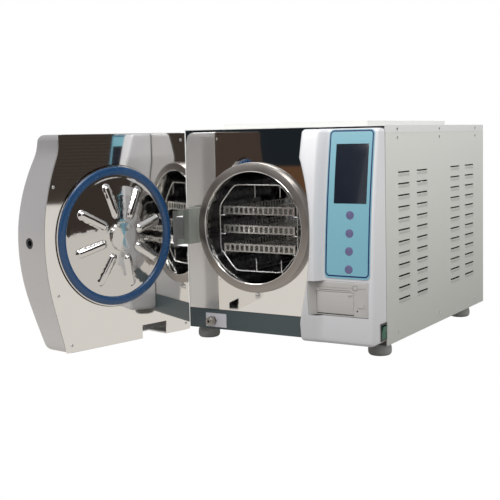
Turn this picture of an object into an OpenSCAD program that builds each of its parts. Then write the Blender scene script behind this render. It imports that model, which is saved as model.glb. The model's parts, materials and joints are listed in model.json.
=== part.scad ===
/* [Cabinet] */
// Width over the side panels
body_w = 496; // [490:1:500]
// Depth from the front plate to the rear panel
body_d = 600; // [590:5:640]
// Height of the top cover above the bench
body_top = 478; // [476:1:482]
// Height of the rubber feet
foot_h = 26; // [22:1:30]
// Thickness of the cabinet sheet metal
sheet = 1.5; // [1:0.1:2]
// Number of louvers in one column of a side panel
louver_rows = 12; // [4:1:12]

/* [Chamber] */
// Radius of the chamber mouth
mouth_r = 122.5; // [118:0.5:124]
// Outer radius of the chamber flange
flange_r = 143; // [141:0.5:143]
// How far the flange face stands in front of the front plate
flange_out = 15; // [14:0.5:15]
// Sideways place of the chamber axis
chamber_x = -65; // [-66:0.5:-64]
// Height of the chamber axis above the bench
chamber_z = 261; // [259:0.5:263]
// Length of the straight part of the vessel
vessel_len = 330; // [300:5:340]

/* [Door] */
// Angle at which the door stands open in the rest pose
door_open = 103; // [0:1:103]
// Thickness of the door at mid height
door_mid_t = 94; // [90:1:98]
// Thickness of the door at its top and bottom edge
door_end_t = 71; // [68:1:78]

/* [Moving parts] */
// Travel of the lock bolt
bolt_travel = 6.5; // [4:0.5:6.5]
// Travel of a membrane panel button
button_travel = 0.8; // [0.4:0.1:1]
// Number of cooling fan blades
fan_blades = 7; // [5:1:9]

/* [Hidden] */
$fn = 72;

// gap between neighbouring sheets and running clearance of a sliding or turning fit
gap = 0.3;
run_fit = 0.05;
half_w = body_w / 2;

// feet: pitch of the four studs, and the front plate's place behind the origin
foot_r = 25;
foot_pitch_x = 434;
foot_pitch_y = 478;
foot_inset_y = 32;
front_y = -(foot_inset_y + foot_pitch_y / 2);

// side panels end below the flange of the top cover
seam_z = 462.5;
panel_in = half_w - sheet;
cover_front_z = 476.6;

// louvers and screws of the side panels
louver_y = [63, 163, 367, 465];
louver_w = 60;
louver_z0 = 109.2;
louver_pitch = 24.25;
louver_h = 5.8;
louver_lean = 22;
side_screw_y = [60, 297, 537];
side_screw_z = [452, 46];
cover_screw_z = 470;

// water tank lid, on top of the cover
lid_half_w = 180;
lid_y0 = 60;
lid_y1 = 510;
lid_top = 489;
lid_wall = 2;
lid_axis_y = lid_y1 + 5;
lid_axis_z = body_top + 5.5;
lid_knuckle_r = 4;

// chamber
vessel_wall = 3;
vessel_r = mouth_r + 1;
frame_t = 4;
frame_y = sheet + gap;

// door: hinge axis and the planes of the closed door, in cabinet coordinates
hinge_x = -247.5;
hinge_y = -63.2;
door_y = -24;
door_left = -262;
door_bottom = 34;
door_top = 472;
door_wall = 3;
door_flats = 7;
hinge_half_h = 40;
hinge_block_x0 = -240;
hinge_block_x1 = -223;
hinge_block_y = -28;
knuckle_r = 8;
knuckle_half_h = 24;
pin_r = 5;

// door panel screws, the notch over the drain connector, and the back plane of the pressure disc
door_screw_xz = [[80, 153], [53, 49], [82, 369], [-249, 49], [-249, 129], [-249, 456]];
notch_x0 = -193;
notch_x1 = -127;
notch_z = 63;
disc_y = door_y + 4;
bridge_y0 = -82;
bridge_y1 = -62;

// free edge of the door and the matching edge of the fascia, from the top down: an upright, a
// fillet, an arc to the widest point, a flatter arc below it, and a straight run to the foot
edge_end_x = 67.5;
edge_mid_x = 106.5;
edge_mid_z = 258;
edge_top_r = 427;
edge_low_r = 505;
edge_low_dz = 125;
edge_fillet_r = 70;
edge_flats = 13;
edge_lean = 4.8;
fascia_gap = 2.5;
fascia_foot_x = 82;

// lock bolt: a pin at the front of the band, carried by an arm from the actuator rod
bolt_y = -72;
bolt_r = 5;
bolt_tip_x = 112;
bolt_arm_x = 123;
bolt_arm_t = 2;
rod_y0 = -36;
socket_r = 11;

// fascia: side profile and raised band beside the door
fascia_bottom = 35;
fascia_top = 473;
fascia_wall = 2.5;
face_r = 2350;
face_mid_z = 60;
face_mid_y = -67;
face_flats = 14;
band_right = 124;
band_foot = 140;
band_slope = 30;
band_r = 913;
band_mid_z = 222;
band_mid_y = -86;
panel_x = 190.5;
panel_w = 101;
panel_z0 = 171;
panel_z1 = 471;
panel_t = 1.2;
display_x0 = 157;
display_x1 = 230;
display_z0 = 322;
display_z1 = 442;
button_x = 194.5;
button_z = [299, 262.5, 226.5, 190];
button_r = 8.7;

// printer
printer_x0 = 108;
printer_x1 = 238;
printer_z0 = 93;
printer_z1 = 165;
printer_back = 46;
pdoor_x0 = 121;
pdoor_x1 = 205;
pdoor_z0 = 98;
pdoor_z1 = 145;
pdoor_t = 3;
printer_y = -65.5;
pdoor_axis_y = printer_y + 4;
pdoor_axis_z = pdoor_z0 + 3;
pdoor_pin_r = 1.5;
roll_r = 15;
roll_y = printer_y + 26;
roll_z = pdoor_z0 + 22;

// switch on the right side wall of the fascia
switch_y = -17.5;
switch_z = 59;
switch_half_y = 14;
switch_half_z = 18;

// drain connector
drain_x = -181;
drain_z = 46;

// rack and trays inside the chamber
rack_wire = 2;
rack_y0 = 12;
rack_y1 = 312;
rack_z = chamber_z - 3;
rack_half_h = 96;
rack_stub = 27;
tray_z = [214, 256, 298];
tray_half_w = 93;
tray_y0 = 14;
tray_y1 = 300;

// fan
fan_x = 110;
fan_z = 360;
fan_r = 55;

module in_cabinet() {
    translate([0, front_y, 0]) children();
}

module on_door() {
    in_cabinet() translate([hinge_x, hinge_y, 0]) rotate([0, 0, -door_open])
        translate([-hinge_x, -hinge_y, 0]) children();
}

// box given by its lowest and highest corners
module box(low, high) {
    translate(low) cube(high - low);
}

// cylinder that runs along +Y from y0 to y1
module rod_y(x, y0, y1, z, r) {
    translate([x, y0, z]) rotate([-90, 0, 0]) cylinder(h = y1 - y0, r = r);
}

// cylinder that runs along +X from x0 to x1
module rod_x(x0, x1, y, z, r) {
    translate([x0, y, z]) rotate([0, 90, 0]) cylinder(h = x1 - x0, r = r);
}

// profile (radius, distance along +Y) turned about the chamber axis
module turned_y(x, z) {
    translate([x, 0, z]) rotate([-90, 0, 0]) rotate_extrude() children();
}

// outline with rounded corners, from circles and squares only
module round_square(w, h, r) {
    square([w - 2 * r, h], center = true);
    square([w, h - 2 * r], center = true);
    for (sx = [-1, 1], sz = [-1, 1]) translate([sx * (w / 2 - r), sz * (h / 2 - r)]) circle(r);
}

// outline drawn in x and z, extruded from y0 to y1
module slab_xz(y0, y1) {
    translate([0, y1, 0]) rotate([90, 0, 0]) linear_extrude(y1 - y0) children();
}

// outline drawn in y and z, extruded from x0 to x1
module slab_yz(x0, x1) {
    translate([x0, 0, 0]) rotate([90, 0, 90]) linear_extrude(x1 - x0) children();
}

// ---------------------------------------------------------------- cabinet

module base_pan() {
    side = panel_in - gap;
    color("lightgray") in_cabinet() difference() {
        box([-side, frame_y + frame_t + gap, foot_h], [side, body_d - sheet - gap, foot_h + 16]);
        box([-side + sheet, 0, foot_h + sheet], [side - sheet, body_d - sheet * 2 - gap, foot_h + 20]);
        for (sx = [-1, 1], y = [foot_inset_y, foot_inset_y + foot_pitch_y])
            translate([sx * foot_pitch_x / 2, y, foot_h - 1]) cylinder(h = 4, r = 4.2);
    }
}

module side_panel() {
    difference() {
        box([panel_in, 0, foot_h], [half_w, body_d, seam_z - gap]);
        for (y = louver_y, row = [0 : louver_rows - 1])
            box([panel_in - 1, y, louver_z0 + row * louver_pitch],
                [half_w + 1, y + louver_w, louver_z0 + row * louver_pitch + louver_h]);
        for (y = side_screw_y, z = side_screw_z) rod_x(panel_in - 1, half_w + 1, y, z, 2.1);
    }
    for (y = louver_y, row = [0 : louver_rows - 1])
        translate([half_w - 0.5, y - 0.5, louver_z0 + row * louver_pitch - louver_h])
            rotate([0, louver_lean, 0]) cube([1, louver_w + 1, louver_h + 3]);
}

module left_side_panel() {
    color("gainsboro") in_cabinet() mirror([1, 0, 0]) side_panel();
}

module right_side_panel() {
    color("gainsboro") in_cabinet() side_panel();
}

module top_cover() {
    color("whitesmoke") in_cabinet() difference() {
        box([-half_w, -3, seam_z], [half_w, body_d, body_top]);
        box([-panel_in, 0, seam_z - 1], [panel_in, body_d - sheet, body_top - sheet]);
        box([-half_w - 1, -4, seam_z - 1], [half_w + 1, 0, cover_front_z]);
        box([-170, 78, seam_z], [170, 494, body_top + 1]);
        for (sx = [-1, 1], y = side_screw_y)
            rod_x(sx * half_w - 2, sx * half_w + 2, y, cover_screw_z, 2.1);
    }
}

module top_rails() {
    color("silver") in_cabinet() for (side = [0, 1]) mirror([side, 0, 0])
        difference() {
            box([222, 8, 440], [panel_in - gap, body_d - 4, body_top - sheet - gap]);
            box([221, 7, 439], [panel_in - gap - sheet, body_d - 3, body_top - 2 * sheet - gap]);
            for (y = side_screw_y, z = [side_screw_z[0], cover_screw_z]) rod_x(230, 250, y, z, 2.1);
        }
}

module tank_lid() {
    z0 = body_top + gap;
    color("white") in_cabinet() {
        difference() {
            box([-lid_half_w, lid_y0, z0], [lid_half_w, lid_y1, lid_top]);
            box([-lid_half_w + lid_wall, lid_y0 + lid_wall, z0 - 1],
                [lid_half_w - lid_wall, lid_y1 - lid_wall, lid_top - lid_wall]);
            for (x = [-120, 120])
                box([x - 21, lid_y1 - lid_wall - 1, z0 - 1], [x + 21, lid_y1 + 1, lid_top - 4]);
        }
        for (x = [-120, 120], sx = [-1, 1]) difference() {
            union() {
                rod_x(x + sx * 15 - 5, x + sx * 15 + 5, lid_axis_y, lid_axis_z, lid_knuckle_r);
                box([x + sx * 15 - 5, lid_y1 - 8, lid_axis_z + 0.5],
                    [x + sx * 15 + 5, lid_axis_y, lid_axis_z + lid_knuckle_r]);
            }
            rod_x(x - 40, x + 40, lid_axis_y, lid_axis_z, 1.5 + run_fit);
        }
    }
}

// two hinges of the tank lid: a foot with one knuckle, and the pin through it
module lid_hinges() {
    color("silver") in_cabinet() for (x = [-120, 120]) {
        rod_x(x - 9.5, x + 9.5, lid_axis_y, lid_axis_z, lid_knuckle_r);
        box([x - 9.5, lid_axis_y - 1, body_top + gap], [x + 9.5, lid_axis_y + 4, lid_axis_z]);
        box([x - 9.5, lid_axis_y, body_top + gap], [x + 9.5, lid_axis_y + 20, body_top + 2]);
        rod_x(x - 20, x + 20, lid_axis_y, lid_axis_z, 1.5);
    }
}

module rear_panel() {
    color("gainsboro") in_cabinet() difference() {
        box([-panel_in + gap, body_d - sheet, foot_h + gap],
            [panel_in - gap, body_d, seam_z - gap]);
        for (r = [14, 28, 42], k = [0 : round(r / 2.4)]) let(a = 360 * k / (round(r / 2.4) + 1))
            rod_y(fan_x + r * cos(a), body_d - 3, body_d + 1, fan_z + r * sin(a), 4.5);
        box([150, body_d - 3, 62], [198, body_d + 1, 90]);
        rod_y(-180, body_d - 3, body_d + 1, 60, 8.2);
        for (row = [0 : 7])
            box([-190, body_d - 3, 300 + row * 12], [-90, body_d + 1, 305 + row * 12]);
    }
}

module front_frame() {
    color("silver") in_cabinet() difference() {
        box([-panel_in + gap, frame_y, foot_h + gap],
            [panel_in - gap, frame_y + frame_t, body_top - sheet - gap]);
        rod_y(chamber_x, 0, 10, chamber_z, flange_r + 0.5);
        rod_y(chamber_x + 3, 0, 10, 109, 4.3);
        box([140, 0, 290], [225, 10, 440]);
        rod_y(drain_x, 0, 10, drain_z, 8);
    }
}

module front_plate() {
    color("lightslategray") in_cabinet() difference() {
        box([-panel_in + gap, 0, 71.5], [150, sheet, body_top - sheet - gap]);
        rod_y(chamber_x, -1, 3, chamber_z, flange_r + 0.5);
        rod_y(chamber_x + 3, -1, 3, 109, 4.3);
    }
}

module base_strip() {
    color("darkslategray") in_cabinet() difference() {
        union() {
            box([-panel_in + gap, 0, foot_h + gap], [150, sheet, 70.5]);
            box([-panel_in + gap, -1, foot_h + gap], [55, 0.5, 70.5]);
        }
        rod_y(drain_x, -2, 3, drain_z, 8);
    }
}

module feet() {
    color("dimgray") for (sx = [-1, 1], sy = [-1, 1])
        translate([sx * foot_pitch_x / 2, sy * foot_pitch_y / 2, 0]) {
            cylinder(h = foot_h - gap, r = foot_r);
            cylinder(h = foot_h + 8, r = 3.9);
        }
}

// pan-head screw whose head stands on the outer face of a side panel
module side_screw(x, y, z) {
    rod_x(x, x + 1.8, y, z, 4);
    rod_x(x - 8, x + 0.5, y, z, 1.9);
}

module cabinet_screws() {
    color("silver") in_cabinet() for (side = [0, 1]) mirror([side, 0, 0])
        for (y = side_screw_y, z = concat([cover_screw_z], side_screw_z))
            side_screw(half_w + 0.05, y, z);
}

// ---------------------------------------------------------------- chamber and plumbing

module chamber_flange() {
    color("silver") in_cabinet() turned_y(chamber_x, chamber_z) polygon([
        [mouth_r, -flange_out + 2], [mouth_r + 2, -flange_out], [flange_r - 2.5, -flange_out],
        [flange_r, -flange_out + 2.5], [flange_r, 11], [vessel_r + vessel_wall + 0.2, 11],
        [vessel_r + vessel_wall + 0.2, 4], [mouth_r, 4]]);
}

module pressure_vessel() {
    y0 = 4.2;
    y1 = y0 + vessel_len;
    dish = 38;
    dish_r = (pow(vessel_r + vessel_wall, 2) + dish * dish) / (2 * dish);
    color("silver") in_cabinet() {
        turned_y(chamber_x, chamber_z) difference() {
            union() {
                translate([0, y0]) square([vessel_r + vessel_wall, vessel_len]);
                intersection() {
                    translate([0, y1 + dish - dish_r]) circle(dish_r, $fn = 200);
                    translate([0, y1 - 1]) square([vessel_r + vessel_wall, dish + 1]);
                }
            }
            translate([0, y0 - 1]) square([vessel_r, vessel_len + 1]);
            intersection() {
                translate([0, y1 + dish - dish_r]) circle(dish_r - vessel_wall, $fn = 200);
                translate([0, y1 - 1]) square([vessel_r, dish + 1]);
            }
        }
    }
}

module insulation_jacket() {
    r0 = vessel_r + vessel_wall + gap;
    color("khaki") in_cabinet() turned_y(chamber_x, chamber_z)
        translate([r0, 20]) square([20, 290]);
}

module vessel_saddle() {
    r0 = vessel_r + vessel_wall + 0.2;
    color("silver") in_cabinet() difference() {
        box([chamber_x - 90, 314, foot_h + sheet + gap], [chamber_x + 90, 330, chamber_z - 50]);
        rod_y(chamber_x, 300, 340, chamber_z, r0);
        box([chamber_x - 60, 300, 50], [chamber_x + 60, 340, 112]);
    }
}

module safety_valve() {
    color("goldenrod") in_cabinet() {
        rod_y(chamber_x, 373, 392, chamber_z + 30, 6);
        rod_y(chamber_x, 392, 400, chamber_z + 30, 11);
        rod_y(chamber_x, 400, 425, chamber_z + 30, 8);
        rod_y(chamber_x, 425, 430, chamber_z + 30, 4);
    }
}

module steam_generator() {
    color("silver") in_cabinet() {
        translate([165, 130, 60]) cylinder(h = 150, r = 42);
        translate([165, 130, 210]) cylinder(h = 8, r = 48);
        translate([165, 130, 218]) cylinder(h = 14, r = 9);
        for (sx = [-1, 1]) box([165 + sx * 30 - 6, 100, foot_h + sheet + gap], [165 + sx * 30 + 6, 160, 60]);
    }
}

module vacuum_pump() {
    color("dimgray") in_cabinet() {
        rod_y(165, 300, 420, 90, 42);
        rod_y(165, 420, 450, 90, 30);
        box([130, 250, 55], [200, 300, 130]);
        rod_y(148, 236, 250, 112, 6);
        rod_y(182, 236, 250, 112, 6);
        box([125, 290, foot_h + sheet + gap], [205, 430, 52]);
    }
}

module condenser() {
    color("silver") in_cabinet() {
        box([-200, 440, 80], [-60, 452, 86]);
        box([-200, 440, 214], [-60, 452, 220]);
        for (k = [0 : 17]) box([-200 + 8 * k, 430, 80], [-198.6 + 8 * k, 470, 220]);
        for (k = [0 : 3]) rod_x(-208, -52, 450, 105 + 30 * k, 5);
        for (x = [-195, -71]) box([x, 440, foot_h + sheet + gap], [x + 6, 452, 82]);
    }
}

module fan_housing() {
    y1 = body_d - sheet - gap;
    color("black") in_cabinet() difference() {
        union() {
            box([fan_x - 60, y1 - 38, fan_z - 60], [fan_x + 60, y1, fan_z + 60]);
        }
        rod_y(fan_x, y1 - 39, y1 + 1, fan_z, fan_r + 2);
    }
    color("black") in_cabinet() {
        rod_y(fan_x, y1 - 4, y1 - 0.5, fan_z, 20);
        rod_y(fan_x, y1 - 20, y1 - 3, fan_z, 3);
        for (a = [0, 90, 180, 270]) translate([fan_x, 0, fan_z]) rotate([0, a, 0])
            box([15, y1 - 4, -2], [fan_r + 3, y1 - 0.5, 2]);
    }
}

module fan_rotor() {
    y1 = body_d - sheet - gap;
    color("dimgray") in_cabinet() translate([fan_x, 0, fan_z]) difference() {
        union() {
            rod_y(0, y1 - 34, y1 - 6, 0, 18);
            for (k = [0 : fan_blades - 1]) rotate([0, 360 * k / fan_blades, 0])
                translate([34, y1 - 20, 0]) rotate([35, 0, 0]) cube([40, 1.6, 24], center = true);
        }
        rod_y(0, y1 - 21, y1 - 5, 0, 3 + run_fit);
    }
}

// one moulded tank with a clean side, a used side and an outlet for each
module water_tank() {
    color("aliceblue") in_cabinet() {
        difference() {
            box([-165, 84, 416], [165, 488, 475]);
            for (x = [-162.5, 1.5]) box([x, 86.5, 418.5], [x + 161, 485.5, 476]);
        }
        for (x = [-82, 82]) rod_y(x, 487, 500, 425, 6);
    }
}

// small sprung probe under the flange that feels the closed door
module door_sensor() {
    color("dimgray") in_cabinet() {
        rod_y(chamber_x + 3, -2, frame_y + frame_t + 14, 109, 4);
        rod_y(chamber_x + 3, -8, -1, 109, 2.5);
        rod_y(chamber_x + 3, -1.8, -0.1, 109, 7);
    }
}

module control_board() {
    y0 = 8;
    color("seagreen") in_cabinet() {
        box([110, y0 + 6, 190], [225, y0 + 7.6, 420]);
        for (x = [118, 217], z = [198, 412]) rod_y(x, frame_y + frame_t + 0.1, y0 + 6.5, z, 3);
        box([125, y0 + 7, 210], [155, y0 + 25, 245]);
        box([170, y0 + 7, 215], [210, y0 + 32, 240]);
        box([130, y0 + 7, 300], [160, y0 + 11, 330]);
        for (k = [0 : 3]) rod_y(180 + 12 * k, y0 + 7, y0 + 24, 380, 5);
    }
}

module power_inlet() {
    y1 = body_d;
    color("black") in_cabinet() difference() {
        union() {
            box([150.5, y1 - 28, 62.5], [197.5, y1 + 0.5, 89.5]);
            box([144, y1 + 0.1, 57], [204, y1 + 3, 95]);
        }
        box([161, y1 - 18, 66], [187, y1 + 4, 86]);
    }
    color("silver") in_cabinet() for (x = [168, 174, 180])
        box([x - 1, y1 - 19, x == 174 ? 78 : 70], [x + 1, y1 - 4, x == 174 ? 83 : 75]);
}

module exhaust_port() {
    color("silver") in_cabinet() {
        rod_y(-180, body_d - 20, body_d + 3, 60, 8);
        rod_y(-180, body_d + 0.1, body_d + 4, 60, 12);
        rod_y(-180, body_d + 4, body_d + 22, 60, 5);
    }
}

// pipe along the points of a path: straight rods with a slightly larger ball joint at each bend
module pipe_run(points, r) {
    for (k = [0 : len(points) - 2]) let(d = points[k + 1] - points[k], l = norm(d)) {
        translate(points[k]) rotate([0, acos(d[2] / l), atan2(d[1], d[0])]) cylinder(h = l, r = r);
        if (k > 0) translate(points[k]) sphere(r * 1.2);
    }
}

module copper_pipes() {
    color("peru") in_cabinet() {
        pipe_run([[165, 130, 232.2], [165, 130, 300], [165, 400, 300], [10, 400, 300]], 4);
        pipe_run([[-51.5, 450, 195], [-20, 450, 195], [-20, 420, 195], [-20, 420, 240]], 4);
        pipe_run([[-208.5, 450, 105], [-225, 450, 105], [-225, 560, 105], [-225, 560, 60],
            [-188.5, 560, 60]], 4);
        pipe_run([[148, 235.5, 112], [148, 222, 112], [148, 222, drain_z], [drain_x, 222, drain_z],
            [drain_x, 21, drain_z]], 4);
    }
}

module drain_plate() {
    color("thistle") in_cabinet() difference() {
        box([-201, -3, 31], [-146, -1.1, 62]);
        rod_y(drain_x, -5, 0, drain_z, 7.2);
    }
}

module drain_connector() {
    color("silver") in_cabinet() difference() {
        union() {
            rod_y(drain_x, -7.4, 20, drain_z, 7);
            rod_y(drain_x, -6, -3.1, drain_z, 10);
            rod_y(drain_x, -22.5, -5, drain_z, 5.5);
        }
        rod_y(drain_x, -24, 21, drain_z, 3);
    }
}

module drain_sleeve() {
    color("silver") in_cabinet() difference() {
        union() {
            rod_y(drain_x, -21, -10, drain_z, 8.5);
            rod_y(drain_x, -12, -10, drain_z, 10);
            rod_y(drain_x, -21, -19, drain_z, 9.5);
        }
        rod_y(drain_x, -22, -9, drain_z, 5.5 + run_fit);
    }
}

// ---------------------------------------------------------------- fascia

// sideways place of the door's free edge at a height above (+) or below (-) its widest point
edge_fillet_x = edge_end_x + edge_fillet_r;
edge_top_x = edge_mid_x - edge_top_r;
edge_fillet_dz = sqrt(pow(edge_top_r + edge_fillet_r, 2) - pow(edge_fillet_x - edge_top_x, 2));
edge_touch_dz = edge_fillet_dz * edge_top_r / (edge_top_r + edge_fillet_r);
function edge_x(dz) = dz < 0 ? edge_mid_x - edge_low_r + sqrt(edge_low_r * edge_low_r - dz * dz)
    : dz < edge_touch_dz ? edge_top_x + sqrt(edge_top_r * edge_top_r - dz * dz)
    : edge_fillet_x - sqrt(pow(edge_fillet_r, 2) - pow(dz - edge_fillet_dz, 2));
edge_slope = edge_low_dz / sqrt(edge_low_r * edge_low_r - edge_low_dz * edge_low_dz);
edge_foot_x = edge_x(-edge_low_dz) - edge_slope * (edge_mid_z - edge_low_dz);

// region left of the free edge, in flats along it, moved left by an amount
module edge_region(inset) {
    polygon(concat([[-400, 0], [edge_foot_x - inset, 0]],
        [for (k = [-edge_flats : edge_flats])
            let(span = k < 0 ? edge_low_dz : edge_fillet_dz, dz = span * k / edge_flats)
            [edge_x(dz) - inset, edge_mid_z + dz]],
        [[edge_end_x - inset, 520], [-400, 520]]));
}

// the same region as a solid whose face leans outward towards the front
module edge_solid(inset) {
    translate([0, door_y, 0]) rotate([0, 0, edge_lean]) translate([0, -door_y, 0])
        slab_xz(-300, 200) edge_region(inset);
}

// front of the leaning face, and of the raised band beside the door, at a given height
function face_y(z) = face_mid_y + face_r - sqrt(face_r * face_r - pow(z - face_mid_z, 2));
function band_y(z) = band_mid_y + band_r - sqrt(band_r * band_r - pow(z - band_mid_z, 2));

// side profile behind a curved front, in flats along its arc
module fascia_profile(is_band, inset) {
    z0 = fascia_bottom + inset;
    z1 = fascia_top - inset;
    polygon(concat([for (k = [0 : face_flats]) let(z = z0 + (z1 - z0) * k / face_flats)
        [(is_band ? band_y(z) : face_y(z)) + inset, z]], [[0, z1], [0, z0]]));
}

module fascia_body(inset) {
    difference() {
        union() {
            slab_yz(20, half_w - inset) fascia_profile(false, inset);
            difference() {
                slab_yz(20, band_foot) fascia_profile(true, inset);
                translate([band_right - inset / cos(band_slope), band_mid_y, 0])
                    rotate([0, 0, -band_slope]) box([0, -100, 0], [100, 120, 500]);
            }
        }
        edge_solid(-fascia_gap - inset);
        box([-400, -200, 0], [fascia_foot_x + inset, 50, 120]);
    }
}

module fascia() {
    color("whitesmoke") in_cabinet() difference() {
        fascia_body(0);
        fascia_body(fascia_wall);
        box([118, -12, fascia_bottom + fascia_wall],
            [half_w - fascia_wall, 5, fascia_top - fascia_wall]);
        box([printer_x0, -120, printer_z0], [printer_x1, -50, printer_z1]);
        box([display_x0 - 1, -120, display_z0 - 1], [display_x1 + 1, -20, display_z1 + 1]);
        for (z = button_z) rod_y(button_x, -120, -20, z, button_r + 0.4);
        box([half_w - 10, switch_y - switch_half_y + 1.5, switch_z - switch_half_z + 1.5],
            [half_w + 1, switch_y + switch_half_y - 1.5, switch_z + switch_half_z - 1.5]);
        rod_x(60, 121, bolt_y, edge_mid_z, bolt_r + run_fit);
    }
}

// sheet on the leaning face, in flats along its arc, with its back a given depth behind the face
module face_sheet(back, thick, x0, x1, z0, z1) {
    heights = [for (k = [0 : face_flats]) z0 + (z1 - z0) * k / face_flats];
    front = [for (z = heights) [face_y(z) + back - thick, z]];
    rear = [for (k = [face_flats : -1 : 0]) [face_y(heights[k]) + back, heights[k]]];
    slab_yz(x0, x1) polygon(concat(front, rear));
}

module membrane_panel() {
    color("cadetblue") in_cabinet() difference() {
        intersection() {
            face_sheet(-0.15, panel_t, panel_x - panel_w / 2, panel_x + panel_w / 2, panel_z0, panel_z1);
            slab_xz(-150, 0) translate([panel_x, (panel_z0 + panel_z1) / 2])
                round_square(panel_w, panel_z1 - panel_z0, 10);
        }
        for (z = button_z) rod_y(button_x, -120, -20, z, button_r + run_fit);
        box([display_x0 - 0.2, -120, display_z0 - 0.2], [display_x1 + 0.2, -20, display_z1 + 0.2]);
    }
}

module display() {
    color("black") in_cabinet() {
        face_sheet(6, 6, display_x0, display_x1, display_z0, display_z1);
        face_sheet(13, 8, display_x0 + 2, display_x1 - 2, display_z0 + 3, display_z1 - 3);
    }
}

module panel_button(k) {
    z = button_z[k];
    color("slateblue") in_cabinet()
        rod_y(button_x, face_y(z) - panel_t - button_travel, face_y(z) + 8, z, button_r);
}

module button_1() {
    panel_button(0);
}

module button_2() {
    panel_button(1);
}

module button_3() {
    panel_button(2);
}

module button_4() {
    panel_button(3);
}

// sloping cheek that leads from the raised band down to the front of the printer
module printer_cheek() {
    left = printer_x0 + gap;
    right = pdoor_x0 - 2;
    intersection() {
        translate([0, 0, printer_z0 + gap]) linear_extrude(printer_z1 - printer_z0 - 2 * gap)
            polygon([[left, band_mid_y], [left + 2, band_mid_y], [right, printer_y],
                [right, printer_y + 2], [left, printer_y + 2]]);
        slab_yz(left, right) fascia_profile(true, gap);
    }
}

// tray of the printer, with a well behind the door for the paper roll
module printer_frame() {
    y0 = printer_y;
    color("lightgray") in_cabinet() difference() {
        union() {
            box([printer_x0 + gap, y0, printer_z0 + gap],
                [printer_x1 - gap, y0 + printer_back, printer_z1 - gap]);
            printer_cheek();
        }
        box([pdoor_x0 - 1, y0 - 1, pdoor_z1 + 6], [printer_x1 - 5, y0 + 0.8, pdoor_z1 + 7.2]);
        box([pdoor_x0 - 0.6, y0 - 1, pdoor_z0 - 2.2], [pdoor_x1 + 0.6, y0 + 8, pdoor_z1 + 0.6]);
        box([pdoor_x0 + 4, y0, pdoor_z0 + 3], [pdoor_x1 - 4, y0 + printer_back - 3, pdoor_z1 - 3]);
        rod_x(pdoor_x0 - 6, pdoor_x1 + 6, pdoor_axis_y, pdoor_axis_z, pdoor_pin_r + run_fit);
        rod_x(pdoor_x0 - 2, pdoor_x1 + 2, roll_y, roll_z, 3 + run_fit);
        box([214.5, y0 - 1, 113.5], [228.5, y0 + 9, 120.5]);
    }
}

module printer_door() {
    y0 = printer_y;
    color("lightgray") in_cabinet() {
        box([pdoor_x0, y0 + 0.2, pdoor_z0], [pdoor_x1, y0 + 0.2 + pdoor_t, pdoor_z1 - 2.5]);
        rod_x(pdoor_x0 - 5.5, pdoor_x1 + 5.5, pdoor_axis_y, pdoor_axis_z, pdoor_pin_r);
        box([pdoor_x1 - 12, y0 - 1.5, pdoor_z1 - 8], [pdoor_x1 - 3, y0 + 1, pdoor_z1 - 5]);
    }
}

module paper_roll() {
    color("ivory") in_cabinet() {
        rod_x(pdoor_x0 + 8, pdoor_x1 - 8, roll_y, roll_z, roll_r);
        rod_x(pdoor_x0 - 1.5, pdoor_x1 + 1.5, roll_y, roll_z, 3);
    }
}

module feed_button() {
    color("gray") in_cabinet()
        box([214.55, printer_y - 1.2, 113.55], [228.45, printer_y + 6, 120.45]);
}

module switch_bezel() {
    color("black") in_cabinet() difference() {
        union() {
            box([half_w + 0.05, switch_y - switch_half_y, switch_z - switch_half_z],
                [half_w + 2, switch_y + switch_half_y, switch_z + switch_half_z]);
            box([half_w - 22, switch_y - switch_half_y + 1.7, switch_z - switch_half_z + 1.7],
                [half_w + 1, switch_y + switch_half_y - 1.7, switch_z + switch_half_z - 1.7]);
        }
        box([half_w - 14, switch_y - 10.5, switch_z - 14.5], [half_w + 3, switch_y + 10.5, switch_z + 14.5]);
        rod_y(half_w - 4, switch_y - 12, switch_y + 12, switch_z, 1.5 + run_fit);
    }
}

// rocker: two flats that meet at a shallow V over the pivot
module switch_rocker() {
    color("green") in_cabinet() {
        rod_y(half_w - 4, switch_y - 11.8, switch_y + 11.8, switch_z, 1.5);
        translate([half_w - 4, 0, switch_z]) rotate([0, 7, 0])
            translate([0, switch_y - 10, 0]) rotate([90, 0, 0]) mirror([0, 0, 1]) linear_extrude(20)
                polygon([[-5, -6], [-5, 6], [7.5, 13.5], [6, 0], [7.5, -13.5]]);
    }
}

// motor housing behind the panel, on a leg that reaches the front frame
module lock_actuator() {
    color("dimgray") in_cabinet() difference() {
        union() {
            box([145, -46, edge_mid_z - 15], [190, -20, edge_mid_z + 15]);
            box([155, -21, edge_mid_z - 12], [185, frame_y - 0.1, edge_mid_z + 12]);
        }
        rod_x(144, 172, rod_y0, edge_mid_z, 4 + run_fit);
    }
}

module lock_bolt() {
    arm_end = bolt_arm_x + bolt_arm_t;
    color("silver") in_cabinet() {
        rod_x(bolt_tip_x + 2, arm_end, bolt_y, edge_mid_z, bolt_r);
        translate([bolt_tip_x + 2, bolt_y, edge_mid_z]) rotate([0, -90, 0])
            cylinder(h = 2, r1 = bolt_r, r2 = bolt_r - 1.5);
        box([bolt_arm_x, bolt_y - 4, edge_mid_z - 9], [arm_end, rod_y0 + 6, edge_mid_z + 9]);
        rod_x(bolt_arm_x + 0.5, 160, rod_y0, edge_mid_z, 4);
    }
}

// ---------------------------------------------------------------- door

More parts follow.
